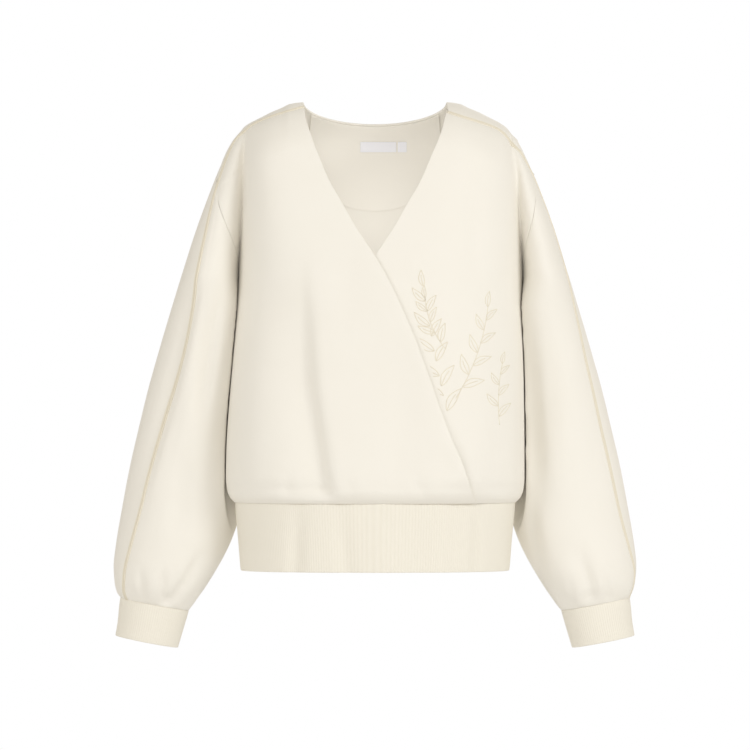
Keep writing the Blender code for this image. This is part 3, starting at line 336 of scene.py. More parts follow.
def bodyPoints(x, z, back=False):
    depth = bodyDepth(x, z, back)
    return stacked(x, middle.at("mid", z) + (depth if back else -depth), z)


def eitherSide(hidden, form, *place):
    # a form's values in front, or behind where hidden
    return np.where(hidden[..., None], form(*place, True), form(*place, False))


def bodyNormals(x, z, back=False):
    step = 0.4
    away = np.sign(x) * step
    slopeX = (bodyDepth(x, z, back) - bodyDepth(x - away, z, back)) / np.where(away == 0, step, away)
    slopeZ = (bodyDepth(x, z, back) - bodyDepth(x, z - step, back)) / step
    return unit(stacked(-slopeX, 1.0 if back else -1.0, -slopeZ))


# a sleeve's point moved out of the body, level with where it was
def clearOfBody(point, clearance):
    x, y, z = point[..., 0], point[..., 1], point[..., 2]
    level = np.clip(z, blouseZ, 0)
    mid = middle.at("mid", z)
    side = sideOf(x)
    shrink = sleeveTuck * smoothStep((blouseZ - 16 - z) / 110)
    half = bySide(torso, "Half", side, level) + clearance - shrink
    square = bySide(torso, "Square", side, level)
    depth = np.where(y < mid, torso.at("front", level), torso.at("back", level)) + clearance - shrink
    reach = (np.abs(x) / half) ** square + ((y - mid) / depth) ** 2
    grow = np.clip(reach, 1e-6, 1) ** (-1 / 2.4)
    grow = 1 + (grow - 1) * smoothStep((z + bodyLength + 40) / 40)
    moved = stacked(x * grow, mid + (y - mid) * grow, z)
    share = smoothStep((armpitZ - z) / clearHeight)[..., None]
    return point * (1 - share) + moved * share


def sleevePoints(side, angle, q):
    turn = np.radians(angle)
    cos, sin = np.cos(turn), np.sin(turn)
    centre, half, depth, drop, mid = armSize(side, q)
    level = q - drop * (1 - cos) / 2
    across = centre + half * cos
    folds = rightSleeveFolds if side == right else leftSleeveFolds
    seen = foldHeight(folds, side * across, level)
    hidden = foldHeight(sleeveBackFolds, across, level)
    strength = np.abs(sin) ** 0.7 * smoothStep((armpitZ + 4 - q) / 30)
    low = outline.knots[0]
    sink = np.where(sin >= 0, seen, hidden) * strength
    puckers = cuffPucker * gathers(turn + 0.4 * side, cuffGathers)
    sink = sink + puckers * np.exp((low - q) / cuffPuckerReach)
    sink = sink * smoothStep((q - low) / 8)
    x = centre + (half - sink) * cos
    return clearOfBody(stacked(side * x, mid - (depth - sink) * sin, level), sleeveClearance)


def sleeveNormals(side, angle, q):
    step = 1.5
    along = sleevePoints(side, angle, q - step) - sleevePoints(side, angle, q + step)
    roundIt = sleevePoints(side, angle + step, q) - sleevePoints(side, angle - step, q)
    return unit(np.cross(roundIt, along) * side)


def armholeLevel(angle):
    return armhole.at("level", np.abs(angle))


def armholeStart(side):
    angle = 30.0
    for _ in range(30):
        angle = float(bySide(pipingArm, "", side, armholeLevel(angle)))
    return angle


def armholeAngles(side, back):
    count = (backArmhole if back else frontArmhole) - len(pitAngles)
    way = -1 if back else 1
    even = np.linspace(armholeStart(side), way * pitStart, count + 1)
    return np.concatenate([even, way * np.array(pitAngles)])


def lengthAlong(points):
    return np.concatenate([[0], np.cumsum(np.linalg.norm(np.diff(points, axis=0), axis=1))])


def pointsAt(line, length, wanted):
    return stacked(*(np.interp(wanted, length, column) for column in line.T))


def evenly(points, count, ease=0.0):
    # an ease over 0 draws the points towards both ends
    points = np.asarray(points, float)
    length = lengthAlong(points)
    share = np.linspace(0, 1, count + 1)
    share = share - ease * np.sin(2 * math.pi * share) / (2 * math.pi)
    return pointsAt(points, length, share * length[-1])


def fineLine(points, samples=fineSteps):
    points = np.asarray(points, float)
    length = lengthAlong(points)
    line = Table("t x z", [(t, *p) for t, p in zip(length, points)])
    t = np.linspace(0, length[-1], samples)
    return stacked(line.at("x", t), line.at("z", t))


def armLine(side, angles, levels):
    centre, half, _, _, _ = armSize(side, levels)
    return stacked(side * (centre + half * np.cos(np.radians(angles))), levels)


# the strip's middle seen from the front, from the shoulder's tip to the neck and to the armhole
def pipingPath(side):
    tipLevel = pipingShoulder[side][-1][1]
    levels = np.linspace(tipLevel - 8, armholeLevel(armholeStart(side)), 5)
    onArm = armLine(side, bySide(pipingArm, "", side, levels), levels)
    shoulder = [(side * x, z) for x, z in pipingShoulder[side]]
    line = fineLine([*shoulder, *onArm], 5 * fineSteps)
    tip = int(np.argmin(np.abs(line - shoulder[-1]).sum(axis=1)))
    return line[tip::-1], line[tip:]


def shoulderLine(side):
    return evenly(pipingPath(side)[0], frontColumns)


# where the arm cap meets the body, from the shoulder's tip to the armpit, seen from the front
def valleyLine(side, back, tip):
    line = [tip]
    seam = armholeAngles(side, back)
    pit = seam[-1 - len(pitAngles):]
    inPit = armLine(side, pit, armholeLevel(pit))
    for z in np.linspace(tip[1] - valleyDrop, inPit[0, 1] + 4, 40):
        x = np.linspace(bySide(arm, "Inner", side, z), outline.at("outer", z), fineSteps)
        bodyIsOutside = torsoDepth(side * x, z, back) > armCapDepth(side * x, z)
        line.append((side * x[np.argmin(bodyIsOutside)], z))
    line.append(tuple(inPit[0]))
    return np.concatenate([evenly(line, armCapRows + len(seam) - len(pit)), inPit[1:]])


def valleyNormals(line, back):
    x, z = line[:, 0], line[:, 1]
    away = np.sign(x)
    onBody = bodyNormals(x - away * 0.6, z, back)
    onBody[-1] = (away[-1], 0, 0)
    normals = onBody + bodyNormals(x + away * 1.2, z, back)
    inPit = np.arange(len(line)) >= len(line) - len(pitAngles)
    normals[inPit] = onBody[inPit]
    return unit(normals)


def shoulderRidge(side):
    x = np.linspace(outline.at("outer", tipZ), neckHalf, 300)
    return evenly(stacked(side * x, ridge.at("z", x)), frontColumns)


def neckOval(turn, below=0):
    return stacked(-neckHalf * np.cos(turn), -backNeckDrop * np.sin(turn) ** neckRound - below)


def sideSeam(side):
    levels = waistZ + (armpitZ - waistZ) * np.linspace(1, 0, sideRows + 1) ** sideEase
    return stacked(side * bySide(torso, "Half", side, levels), levels)


# rows of fine points from start to end, seen from the front, that follow top and bottom
def patch(top, bottom, start, end):
    u = np.linspace(0, 1, 900)
    fine = (1 - np.cos(math.pi * u)) / 2

    def bend(line):
        line = evenly(line, 300)
        t = np.linspace(0, 1, 301)
        chord = line[0] + (line[-1] - line[0]) * t[:, None]
        return pointsAt(line - chord, t, fine)

    topBend, bottomBend = bend(top), bend(bottom)
    shares = np.linspace(0, 1, len(start))[:, None, None]
    straight = start[:, None] + (end - start)[:, None] * fine[None, :, None]
    return straight + (1 - shares) ** 1.5 * topBend + shares * bottomBend


# grid points on the rows: the first row is top, lower rows turn to equal lengths on the cloth
def spaced(rows, top, back):
    topLength = lengthAlong(bodyPoints(*top.T, back))
    topShares = topLength / topLength[-1]
    even = np.linspace(0, 1, len(top))
    grid = [top]
    for j, row in enumerate(rows[1:], 1):
        length = lengthAlong(bodyPoints(*row.T, back))
        blend = smoothStep(j / len(rows) * 1.6)
        grid.append(pointsAt(row, length, (topShares * (1 - blend) + even * blend) * length[-1]))
    return np.array(grid)


# a line of points moved square to itself on the cloth, towards points inside the piece
def inset(line, normals, inside, distance):
    aside = unit(np.cross(normals, np.gradient(line, axis=0)))
    if (aside * (inside - line)).sum() < 0:
        aside = -aside
    return line + aside * np.asarray(distance)[..., None]


def lineOf(edge, k):
    return {"top": np.s_[k], "start": np.s_[:, k], "end": np.s_[:, -1 - k]}[edge]


def insetEdge(points, normals, edge, distance):
    first, second = lineOf(edge, 0), lineOf(edge, 1)
    shift = inset(points[first], normals[first], points[second], distance) - points[first]
    follow(points, edge, shift)


def follow(points, edge, shift, reach=8):
    # the lines next to a moved edge follow it less and less, so that none is overtaken
    for k in range(reach):
        points[lineOf(edge, k)] += shift * (1 - k / reach)


def rowWidths(points):
    return np.linalg.norm(np.diff(points, axis=1), axis=-1).sum(axis=1)


def angleOnArm(side, x, z):
    centre, half, _, _, _ = armSize(side, z)
    return np.degrees(np.arccos(np.clip((side * x - centre) / half, -1, 1)))


def capNormals(side, x, z, back):
    angles = angleOnArm(side, x, z) * (-1 if back else 1)
    onBody = (torsoDepth(x, z, back) > armCapDepth(x, z))[..., None]
    return np.where(onBody, bodyNormals(x, z, back), sleeveNormals(side, angles, z))


# the arm cap, from the valley to the strip and the armhole's seam; firstRow is seen from the front
def armCap(side, back, valley, firstRow):
    rows, capRows = len(valley) - 1, armCapRows
    piping = evenly(pipingPath(side)[1], capRows)
    seam = armholeAngles(side, back)
    across = np.linspace(0, 1, capColumns + 1)
    flat, angles = [], []
    for j in range(1, rows + 1):
        valleyAngle = float(angleOnArm(side, *valley[j])) * (-1 if back else 1)
        if j <= capRows:
            edgeAngle = float(angleOnArm(side, *piping[j]))
            edgeHeight = piping[j, 1] - armholeLevel(edgeAngle)
        else:
            edgeAngle = seam[j - capRows]
            edgeHeight = 0
        valleyHeight = valley[j, 1] - armholeLevel(valleyAngle)
        angle = valleyAngle + (edgeAngle - valleyAngle) * across
        alongSeam = armholeLevel(angle) + valleyHeight + (edgeHeight - valleyHeight) * across
        straight = alongSeam[0] + (alongSeam[-1] - alongSeam[0]) * across
        share = smoothStep(j / capRows)
        level = straight * (1 - share) + alongSeam * share
        row = armLine(side, angle, level)
        flat.append(row + (valley[j] - row[0]) * (1 - across[:, None]) ** 2)
        angles.append(angle)
    flat, angles = np.array(flat), np.array(angles)
    x, z = flat[..., 0], flat[..., 1]
    points = eitherSide(angles < 0, bodyPoints, x, z)
    normals = eitherSide(angles < 0, capNormals, side, x, z)
    edge = angles[capRows - 1:, -1]
    normals[capRows - 1:, -1] = sleeveNormals(side, edge, armholeLevel(edge))
    first, firstNormals = bodyPoints(*firstRow.T)[None], bodyNormals(*firstRow.T)[None]
    points, normals = np.concatenate([first, points]), np.concatenate([firstNormals, normals])
    unmoved = points[:, -1].copy()
    onSeam, onPiping = np.s_[capRows:, -1], np.s_[:capRows + 1, -1]
    seamLine = inset(points[onSeam], normals[onSeam], points[capRows:, -2], armholeHalf)
    corner = seamLine[0] - points[capRows, -1]
    before = shoulderLine(side)[1]
    line = np.concatenate([bodyPoints(*before)[None], points[onPiping]])
    lineNormals = np.concatenate([bodyNormals(*before)[None], normals[onPiping]])
    inside = np.concatenate([points[1:2, 0], points[:capRows + 1, -2]])
    points[onPiping] = inset(line, lineNormals, inside, pipingGap)[1:]
    corner += points[capRows, -1]
    points[onSeam] = seamLine
    points[capRows, -1] = corner
    shift = points[:, -1] - unmoved
    points[:, -1] = unmoved
    narrow = np.clip(capShare * rowWidths(points) / (np.linalg.norm(shift, axis=-1) + 1e-9), 0, 1)
    narrow[0] = 1
    follow(points, "end", shift * narrow[:, None], capColumns)
    return points


# rows from the ridge to the strip, seen from the front, at equal lengths on the cloth
def overShoulder(ridge, piping):
    fine = np.linspace(0, 1, 80)[:, None] ** 2.5
    rows = []
    for start, end in zip(ridge, piping):
        row = start + (end - start) * fine
        length = lengthAlong(bodyPoints(*row.T))
        rows.append(pointsAt(row, length, np.linspace(0, length[-1], capColumns + 1)))
    return np.array(rows)


def sleeveGrid(side, back):
    end = -180 if back else 180
    start = armholeStart(side)
    across = (armholeAngles(side, back) - start) / (end - start)
    seam = armholeLevel(start + (end - start) * across)
    even = np.linspace(0, 1, sleeveRows + 1)
    down = even + sleeveEase * np.sin(2 * math.pi * even)
    down = down + sleeveSpread * np.sin(math.pi * even) ** 2 * even
    levels = seam + (outline.knots[0] - seam) * down[:, None]
    piping = bySide(pipingArm, "", side, levels[:, 0])[:, None]
    return piping + (end - piping) * across, levels


# sleeve points that start on the body's armhole and settle into the sleeve's own rings
def joinedToArmhole(side, angles, levels):
    points = sleevePoints(side, angles, levels)
    onBody = eitherSide(angles[0] < 0, bodyPoints, *armLine(side, angles[0], levels[0]).T)
    fade = np.exp((levels - levels[0]) / sleeveSettle)[..., None]
    return points + (onBody - points[0]) * fade


# how far a front stands off the body's form because the two fronts cross
def wrapOffset(x, z, lower):
    covered = wrapLine.at("x", z) - x
    inside = np.clip(covered, 0, None)
    fade = smoothStep((-vDepth + wrapStart - z) / wrapStart)
    lift = wrapStep * np.exp(-((inside / wrapEase) ** 2)) * fade
    if not lower:
        curl = (inside / wrapLiftWidth) ** 2 + ((z - wrapLiftZ) / wrapLiftHeight) ** 2
        return lift + wrapLift * np.exp(-curl)
    deeper = wrapSunk * smoothStep(covered / wrapSunkWidth) * smoothStep((z - waistZ) / wrapSunkHeight)
    return np.where(covered > 0, lift - wrapStep * fade - deeper, 0)


def written(bm, name):
    mesh = bpy.data.meshes.new(name)
    bm.to_mesh(mesh)
    bm.free()
    return mesh


def placed(name, data):
    obj = bpy.data.objects.new(name, data)
    bpy.context.scene.collection.objects.link(obj)
    return obj


def meshOf(name, grids, closed=False):
    # one mesh from grids of points that share their edges; closed grids are tubes
    bm = bmesh.new(use_operators=True)
    bm.loops.layers.uv.new("UVMap")
    for points in grids:
        rows, columns = points.shape[:2]
        if closed:
            points = np.concatenate([points, points[:, :1]], axis=1)
            columns += 1
        made = bmesh.ops.create_grid(bm, x_segments=columns - 1, y_segments=rows - 1, size=1, calc_uvs=True)
        for vert, point in zip(made["verts"], points.reshape(-1, 3)):
            vert.co = point * mm
    bmesh.ops.remove_doubles(bm, verts=bm.verts, dist=0.00001)
    bmesh.ops.dissolve_degenerate(bm, edges=bm.edges, dist=0.00001)
    bmesh.ops.recalc_face_normals(bm, faces=bm.faces)
    for face in bm.faces:
        face.smooth = True
    return written(bm, name)


def piece(name, mesh, material, node):
    obj = placed(name, mesh)
    mesh.materials.append(material)
    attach(obj, "root")
    if node:
        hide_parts(node)
    return obj


def relaxed(mesh, spots, settings):
    # irons the inner points round a few spots, where many rows meet
    bm = bmesh.new()
    bm.from_mesh(mesh)
    near = [
        vert for vert in bm.verts if not vert.is_boundary
        and any((vert.co / mm - Vector(spot)).length < settings["reach"] for spot in spots)
    ]
    for _ in range(settings["rounds"]):
        bmesh.ops.smooth_vert(bm, verts=near, factor=0.5, use_axis_x=True, use_axis_y=True, use_axis_z=True)
    bm.to_mesh(mesh)
    bm.free()


def faceOut(mesh, outward):
    # the grid's winding is turned when most of its cloth looks the other way
    if sum(face.normal.dot(outward(face.center)) * face.area for face in mesh.polygons) < 0:
        mesh.flip_normals()


def towards(y):
    return lambda centre: Vector((0, y, 0))


def thick(obj, settings):
    # gives a sheet its wall, inwards, and rounds the wall's edges
    solid = obj.modifiers.new("wall", "SOLIDIFY")
    solid.thickness = settings["thick"] * mm
    solid.offset = -1
    solid.use_even_offset = False
    bevel = obj.modifiers.new("edge", "BEVEL")
    bevel.affect = "EDGES"
    bevel.width = settings["round"] * mm
    bevel.segments = 3
    bevel.profile = 0.5
    bevel.material = -1
    bevel.limit_method = "ANGLE"
    bevel.angle_limit = math.radians(74)  # only the wall's own edges are sharper
    bevel.use_clamp_overlap = False
    return obj


def treeOf(obj):
    # the mesh as its modifiers leave it, for rays
    depsgraph = bpy.context.evaluated_depsgraph_get()
    mesh = bpy.data.meshes.new_from_object(obj.evaluated_get(depsgraph))
    tree = BVHTree.FromPolygons([v.co / mm for v in mesh.vertices], [f.vertices for f in mesh.polygons])
    bpy.data.meshes.remove(mesh)
    return tree


# shader maths reads as sums: a socket is wrapped, and its operators add nodes
class Sock:

    def __init__(self, tree, socket):
        self.tree, self.socket = tree, socket

    def node(self, kind, settings=None, inputs=None, out=0):
        made = self.tree.nodes.new(kind)
        for key, value in (settings or {}).items():
            setattr(made, key, value)
        for key, value in (inputs or {}).items():
            if isinstance(value, Sock):
                self.tree.links.new(value.socket, made.inputs[key])
            else:
                made.inputs[key].default_value = value
        return Sock(self.tree, made.outputs[out])

    def maths(self, operation, *others):
        return self.node("ShaderNodeMath", {"operation": operation}, dict(enumerate(others)))

    def __add__(self, other):
        return self.maths("ADD", self, other)

    def __radd__(self, other):
        return self.maths("ADD", other, self)

    def __mul__(self, other):
        return self.maths("MULTIPLY", self, other)

    def __rmul__(self, other):
        return self.maths("MULTIPLY", other, self)

    def sine(self):
        return self.maths("SINE", self)

    def mix(self, first, second):
        # from the first colour at 0 to the second at 1; sockets 6 and 7 are the node's colours
        colours = {0: self, 6: (*first, 1), 7: (*second, 1)}
        return self.node("ShaderNodeMix", {"data_type": "RGBA"}, colours, out=2)

    def to(self, socket):
        self.tree.links.new(self.socket, socket)


def newMaterial(name, settings):
    material = bpy.data.materials.new(name)
    material.use_nodes = True
    shader = material.node_tree.nodes["Principled BSDF"]
    shader.inputs["Base Color"].default_value = (*settings["colour"], 1)
    shader.inputs["Roughness"].default_value = settings["rough"]
    shader.inputs["Specular IOR Level"].default_value = settings.get("specular", 0.2)
    shader.inputs["Sheen Weight"].default_value = settings.get("sheen", 0.0)
    return material, shader, Sock(material.node_tree, None)


def bumped(shader, kit, height, distance, strength):
    bump = {"Strength": strength, "Distance": distance * mm, "Height": height}
    kit.node("ShaderNodeBump", {}, bump).to(shader.inputs["Normal"])


def noise(kit, scale, detail):
    where = kit.node("ShaderNodeTexCoord", out=3)
    return kit.node("ShaderNodeTexNoise", {}, {"Vector": where, "Scale": scale, "Detail": detail})


def ribbed(name, settings):
    # fine ribs up and down a tube, by the piece's own UV map; the colour runs from the shade tone in each
    # rib's groove to the plain colour on its crest, as painted shade
    material, shader, kit = newMaterial(name, settings)
    along = kit.node("ShaderNodeSeparateXYZ", {}, {0: kit.node("ShaderNodeUVMap")})
    ribs = (along * (settings["count"] * 2 * math.pi)).sine()
    bumped(shader, kit, ribs, settings["bump"], 0.5)
    (0.5 + 0.5 * ribs).mix(settings["shade"], settings["colour"]).to(shader.inputs["Base Color"])
    return material


print("materials")
clothLook = dict(
    colour=(0.885, 0.854, 0.79), shade=(0.872, 0.84, 0.77), rough=0.85, specular=0.25, sheen=0.05,
    cloudScale=26.0, grainScale=1500.0, cloudBump=0.6, bump=0.12,
)
clothMat, shader, kit = newMaterial("jersey", clothLook)
cloudy, grain = noise(kit, clothLook["cloudScale"], 3.0), noise(kit, clothLook["grainScale"], 2.0)
cloudy.mix(clothLook["colour"], clothLook["shade"]).to(shader.inputs["Base Color"])
bumped(shader, kit, grain + cloudy * clothLook["cloudBump"], clothLook["bump"], 0.5)

# the rib's shade tone is painted shade for the grooves between the ribs
ribLook = dict(
    colour=(0.87, 0.832, 0.742), shade=(0.85, 0.81, 0.715), rough=0.9, specular=0.2, sheen=0.05, bump=0.16,
)
ribMat = ribbed("rib", dict(ribLook, count=330))
cuffMat = ribbed("cuff rib", dict(ribLook, count=92))

# the cord is the cloth's own yarn: its darker colour is painted shade for the grooves beside and between the
# cords
cordPaintedShadeMat, _, _ = newMaterial("cord", dict(colour=(0.80, 0.745, 0.62), rough=0.6, specular=0.35))
# the embroidery thread has the cloth's own tone: its darker colour is painted shade for the raised stitches
threadPaintedShadeMat, _, _ = newMaterial("thread", dict(colour=(0.82, 0.765, 0.645), rough=0.6, specular=0.3))
facingMat, _, _ = newMaterial("facing", dict(colour=(0.885, 0.852, 0.785), rough=0.85))
labelLook = dict(colour=(0.9, 0.9, 0.95), rough=0.55, specular=0.3, weaveScale=700.0, bump=0.1)
labelMat, shader, kit = newMaterial("woven label", labelLook)
where = kit.node("ShaderNodeTexCoord", out=3)
waves = {"Vector": where, "Scale": labelLook["weaveScale"]}
bumped(shader, kit, kit.node("ShaderNodeTexWave", {"bands_direction": "X"}, waves), labelLook["bump"], 0.4)

print("fronts")
frontSet = dict(thick=2.0, round=0.3)
tipRelax = dict(reach=16, rounds=12)
# the edges that each corded strip lies between, from the neck to the cuff
stripEdges = {(side, hidden): [] for side in words for hidden in (False, True)}


def front(side):
    edge = wrapEdge if side == right else leftNeck + [(-x, z) for x, z in wrapEdge[3:]]
    rows = armCapRows + frontArmhole
    top = shoulderLine(side)
    valley = valleyLine(side, False, tuple(top[0]))
    outer = np.concatenate([valley[:-1], sideSeam(side)])
    inner = evenly(fineLine(edge), len(outer) - 1, endEase)
    waist = np.linspace(outer[-1], inner[-1], 50)
    flat = spaced(patch(top, waist, outer, inner), top, False)
    x, z = flat[..., 0], flat[..., 1]
    normals = bodyNormals(x, z)
    normals[1:rows + 1, 0] = valleyNormals(valley, False)[1:]
    points = bodyPoints(x, z)
    points[..., 1] -= wrapOffset(x, z, side == left)
    last = rows - len(pitAngles)
    insetEdge(points, normals, "start", np.where(np.arange(len(outer)) > last, seamHalf, 0))
    insetEdge(points, normals, "top", pipingGap)
    tip = np.repeat(top[:1], capColumns + 1, axis=0)
    cap = armCap(side, False, valley[:last + 1], tip)
    points[0, 0], points[last, 0] = cap[0, -1], cap[-1, -1]
    cap[:, 0] = points[:last + 1, 0]
    slim = rowWidths(cap) < slimRow
    slim[[0, -1]] = True
    cap[slim] = cap[slim, :1]
    stripEdges[side, False] += [points[0, ::-1], cap[1:armCapRows + 1, -1]]
    name = "front" + words[side].capitalize()
    mesh = meshOf(name, [points, cap])
    relaxed(mesh, [cap[0, 0]], tipRelax)
    faceOut(mesh, towards(-1))
    return thick(piece(name, mesh, clothMat, "front_" + words[side]), frontSet)


frontRight, frontLeft = front(right), front(left)

print("back")
backSet = dict(thick=2.0, round=0.3)


def backPanel():
    rows = armCapRows + backArmhole
    ridges = {side: shoulderRidge(side) for side in words}
    valleys = {side: valleyLine(side, True, tuple(ridges[side][0])) for side in words}
    sides = {side: np.concatenate([valleys[side][:-1], sideSeam(side)]) for side in words}
    neck = evenly(neckOval(np.linspace(0, math.pi, 300)), neckColumns)
    top = np.concatenate([ridges[right], neck[1:-1], ridges[left][::-1]])
    waist = np.linspace(sides[right][-1], sides[left][-1], 50)
    flat = spaced(patch(top, waist, sides[right], sides[left]), top, True)
    x, z = flat[..., 0], flat[..., 1]
    points, normals = bodyPoints(x, z, True), bodyNormals(x, z, True)
    last = rows - len(pitAngles)
    below = np.where(np.arange(len(flat)) > last, seamHalf, 0)
    insetEdge(points, normals, "start", below)
    insetEdge(points, normals, "end", below)
    grids = [points]
    for side, column in ((right, 0), (left, -1)):
        run = slice(0, frontColumns + 1) if side == right else slice(None, -frontColumns - 2, -1)
        shoulder = overShoulder(ridges[side], shoulderLine(side))
        strip = bodyPoints(shoulder[..., 0], shoulder[..., 1])
        stripNormals = bodyNormals(shoulder[..., 0], shoulder[..., 1])
        insetEdge(strip, stripNormals, "end", pipingGap)
        strip[:, 0] = points[0, run]
        cap = armCap(side, True, valleys[side][:last + 1], shoulder[0])
        points[last, column] = cap[-1, -1]
        cap[:, 0] = points[:last + 1, column]
        strip[0, -1] = cap[0, -1]
        cap[0] = strip[0]
        cap[-1] = cap[-1, 0]
        stripEdges[side, True] += [strip[::-1, -1], cap[1:armCapRows + 1, -1]]
        grids += [cap, strip]
    mesh = meshOf("backPanel", grids)
    relaxed(mesh, [grid[0, 0] for grid in grids[1:]] + [points[0, 0], points[0, -1]], tipRelax)
    # the strips over the shoulders face forwards, so only the faces below them are asked
    faceOut(mesh, lambda centre: Vector((0, 1 if centre.z < -0.1 else 0, 0)))
    return thick(piece("backPanel", mesh, clothMat, "back"), backSet)


back = backPanel()

print("sleeves")
sleeveSet = dict(thick=2.0, round=0.3)


def sleeve(side, hidden):
    angles, levels = sleeveGrid(side, hidden)
    points = joinedToArmhole(side, angles, levels)
    normals = sleeveNormals(side, angles, levels)
    insetEdge(points, normals, "start", pipingGap)
    insetEdge(points, normals, "end", seamHalf)
    insetEdge(points, normals, "top", armholeHalf)
    stripEdges[side, hidden].append(points[:, 0])
    half = "back" if hidden else "front"
    name = "sleeve" + words[side].capitalize() + half.capitalize()
    mesh = meshOf(name, [points])
    faceOut(mesh, towards(1 if hidden else -1))
    return thick(piece(name, mesh, clothMat, "sleeve_" + words[side] + "_" + half), sleeveSet)


sleeves = [sleeve(side, hidden) for side in words for hidden in (False, True)]

print("waistband and cuffs")


def tube(name, rings, settings, material, node):
    mesh = meshOf(name, [rings], closed=True)
    inner = Vector(rings.reshape(-1, 3).mean(axis=0) * mm)
    faceOut(mesh, lambda centre: centre - inner)
    return thick(piece(name, mesh, material, node), settings)


def fullTurn(count):
    return np.linspace(0, 2 * math.pi, count, endpoint=False)


def withTuck(rings, settings):
    # one ring more at the top, drawn in and up under the piece above
    rings = np.array(rings)
    ring = rings[:1]
    away = unit(ring - ring.mean(axis=1, keepdims=True))
    return np.concatenate([ring - away * settings["tuck"] + [0, 0, settings["rise"]], rings])


def bandRings(settings):
    turn = fullTurn(settings["columns"])
    cos, seen = np.cos(turn), np.sin(turn) > 0
    across = np.sign(cos) * np.abs(cos) ** (2 / bandSquare)
    edge = np.sqrt(np.clip(1 - np.abs(across) ** bandSquare, 0, 1))
    rings = []
    for z in np.linspace(band.knots[-1], band.knots[0], settings["rows"]):
        half, frontDepth, backDepth = (band.at(name, z) for name in band.columns)
        y = middle.at("mid", z) + np.where(seen, -frontDepth, backDepth) * edge
        sink = bandFoldHeight(across * half, z, seen)
        rings.append(stacked(across * half, y + np.where(seen, sink, -sink), z))
    return withTuck(rings, settings)


def bandFoldHeight(x, z, seen):
    sunk = np.zeros(x.shape)
    for centre, depth, width, lean, hidden in bandFolds:
        off = (x - centre - lean * (z - bandFoldZ)) / width
        part = depth * np.exp(-(off**2)) * (0.35 + 0.65 * smoothStep((waistZ - z) / 60))
        sunk = sunk + np.where(seen != hidden, part, 0)
    return sunk


bandSet = dict(columns=420, rows=34, thick=3.0, round=1.2, tuck=2.5, rise=4.0)
# where across at bandFoldZ, depth, width, lean, and whether it lies on the back
bandFoldZ = -530.0
bandFolds = [
    (-94, 4.2, 10, 0.05, False), (-38, 4.2, 11, -0.08, False), (8, -2.0, 14, 0.0, False),
    (52, 2.2, 16, 0.05, False), (96, 2.0, 9, 0.0, False), (122, 4.4, 6, 0.05, False),
    (-70, 2.6, 13, 0.0, True), (-10, -1.5, 16, 0.05, True), (40, 2.8, 12, -0.05, True),
    (110, 2.2, 10, 0.0, True),
]
waistband = tube("waistRib", bandRings(bandSet), bandSet, ribMat, "waistband")


def cuffRings(side, settings):
    turn = fullTurn(settings["columns"])
    share = (1 - np.cos(turn)) / 2
    mid = arm.at("mid", arm.knots[0])
    rings = []
    for t in np.linspace(0, 1, settings["rows"]):
        outerX, outerZ, innerX, innerZ, depth = (cuff.at(name, t) for name in cuff.columns)
        x = side * (outerX + (innerX - outerX) * share)
        z = outerZ + (innerZ - outerZ) * share
        rings.append(stacked(x, mid - depth * np.sin(turn), z))
    return withTuck(rings, settings)


cuffSet = dict(columns=200, rows=20, thick=3.0, round=1.2, tuck=1.8, rise=4.0)
cuffRight, cuffLeft = (
    tube("cuff" + word.capitalize(), cuffRings(side, cuffSet), cuffSet, cuffMat, "cuff_" + word)
    for side, word in words.items()
)

print("corded strips")


def swept(path, aside, up, profile):
    # the points and faces of a closed tube; the profile's points lie aside and up from the path
    rings = path[:, None] + profile[:, :1] * aside[:, None] + profile[:, 1:] * up[:, None]
    count, sides = rings.shape[:2]
    faces = [
        (j * sides + i, (j + 1) * sides + i, (j + 1) * sides + (i + 1) % sides, j * sides + (i + 1) % sides)
        for j in range(count - 1) for i in range(sides)
    ]
    ends = [tuple(range(sides)), tuple((count - 1) * sides + i for i in range(sides))[::-1]]
    return rings.reshape(-1, 3), faces + ends


def meshFrom(name, parts):
    bm = bmesh.new(use_operators=True)
    for points, faces in parts:
        verts = [bm.verts.new(point) for point in points * mm]
        for face in faces:
            bm.faces.new([verts[i] for i in face])
    bmesh.ops.recalc_face_normals(bm, faces=bm.faces)
    for face in bm.faces:
        face.smooth = len(face.verts) < 8
    return written(bm, name)


def smoothed(path, rounds):
    path = path.copy()
    for _ in range(rounds):
        path[1:-1] = path[1:-1] * 0.5 + (path[:-2] + path[2:]) * 0.25
    return path


def doubleCord(settings):
    # across from -1 to 1, and up in millimetres: two cords on a tape that runs under the cloth
    turn = np.linspace(math.pi, 0, 9)
    cord = stacked(0.5 * np.cos(turn), settings["high"] * np.sin(turn) ** 0.8)
    wide, deep = settings["tape"], settings["deep"]
    ends = [[wide, -deep], [wide, -deep - 0.5], [-wide, -deep - 0.5], [-wide, -deep]]
    return np.concatenate([cord - [0.5, 0], cord[1:] + [0.5, 0], ends])


def corded(side, settings):
    # fills the gap between the cloth on both sides, from the neck to the cuff
    edges = (np.concatenate(stripEdges[side, hidden]) for hidden in (False, True))
    ahead, behind = (smoothed(evenly(edge, settings["rings"] - 1), settings["smooth"]) for edge in edges)
    path, across = (ahead + behind) / 2, (ahead - behind) / 2
    up = smoothed(unit(np.cross(unit(np.gradient(path, axis=0)), across) * -side), settings["smooth"])
    profile = doubleCord(settings) * [settings["fill"], 1] + [0, settings["raised"]]
    return swept(path, across, up, profile)


cordSet = dict(rings=480, smooth=8, high=1.35, deep=0.9, tape=1.7, fill=0.97, raised=-0.25)
for side, word in words.items():
    name = "cord" + word.capitalize()
    piece(name, meshFrom(name, [corded(side, cordSet)]), cordPaintedShadeMat, "piping_" + word)

print("facing and label")


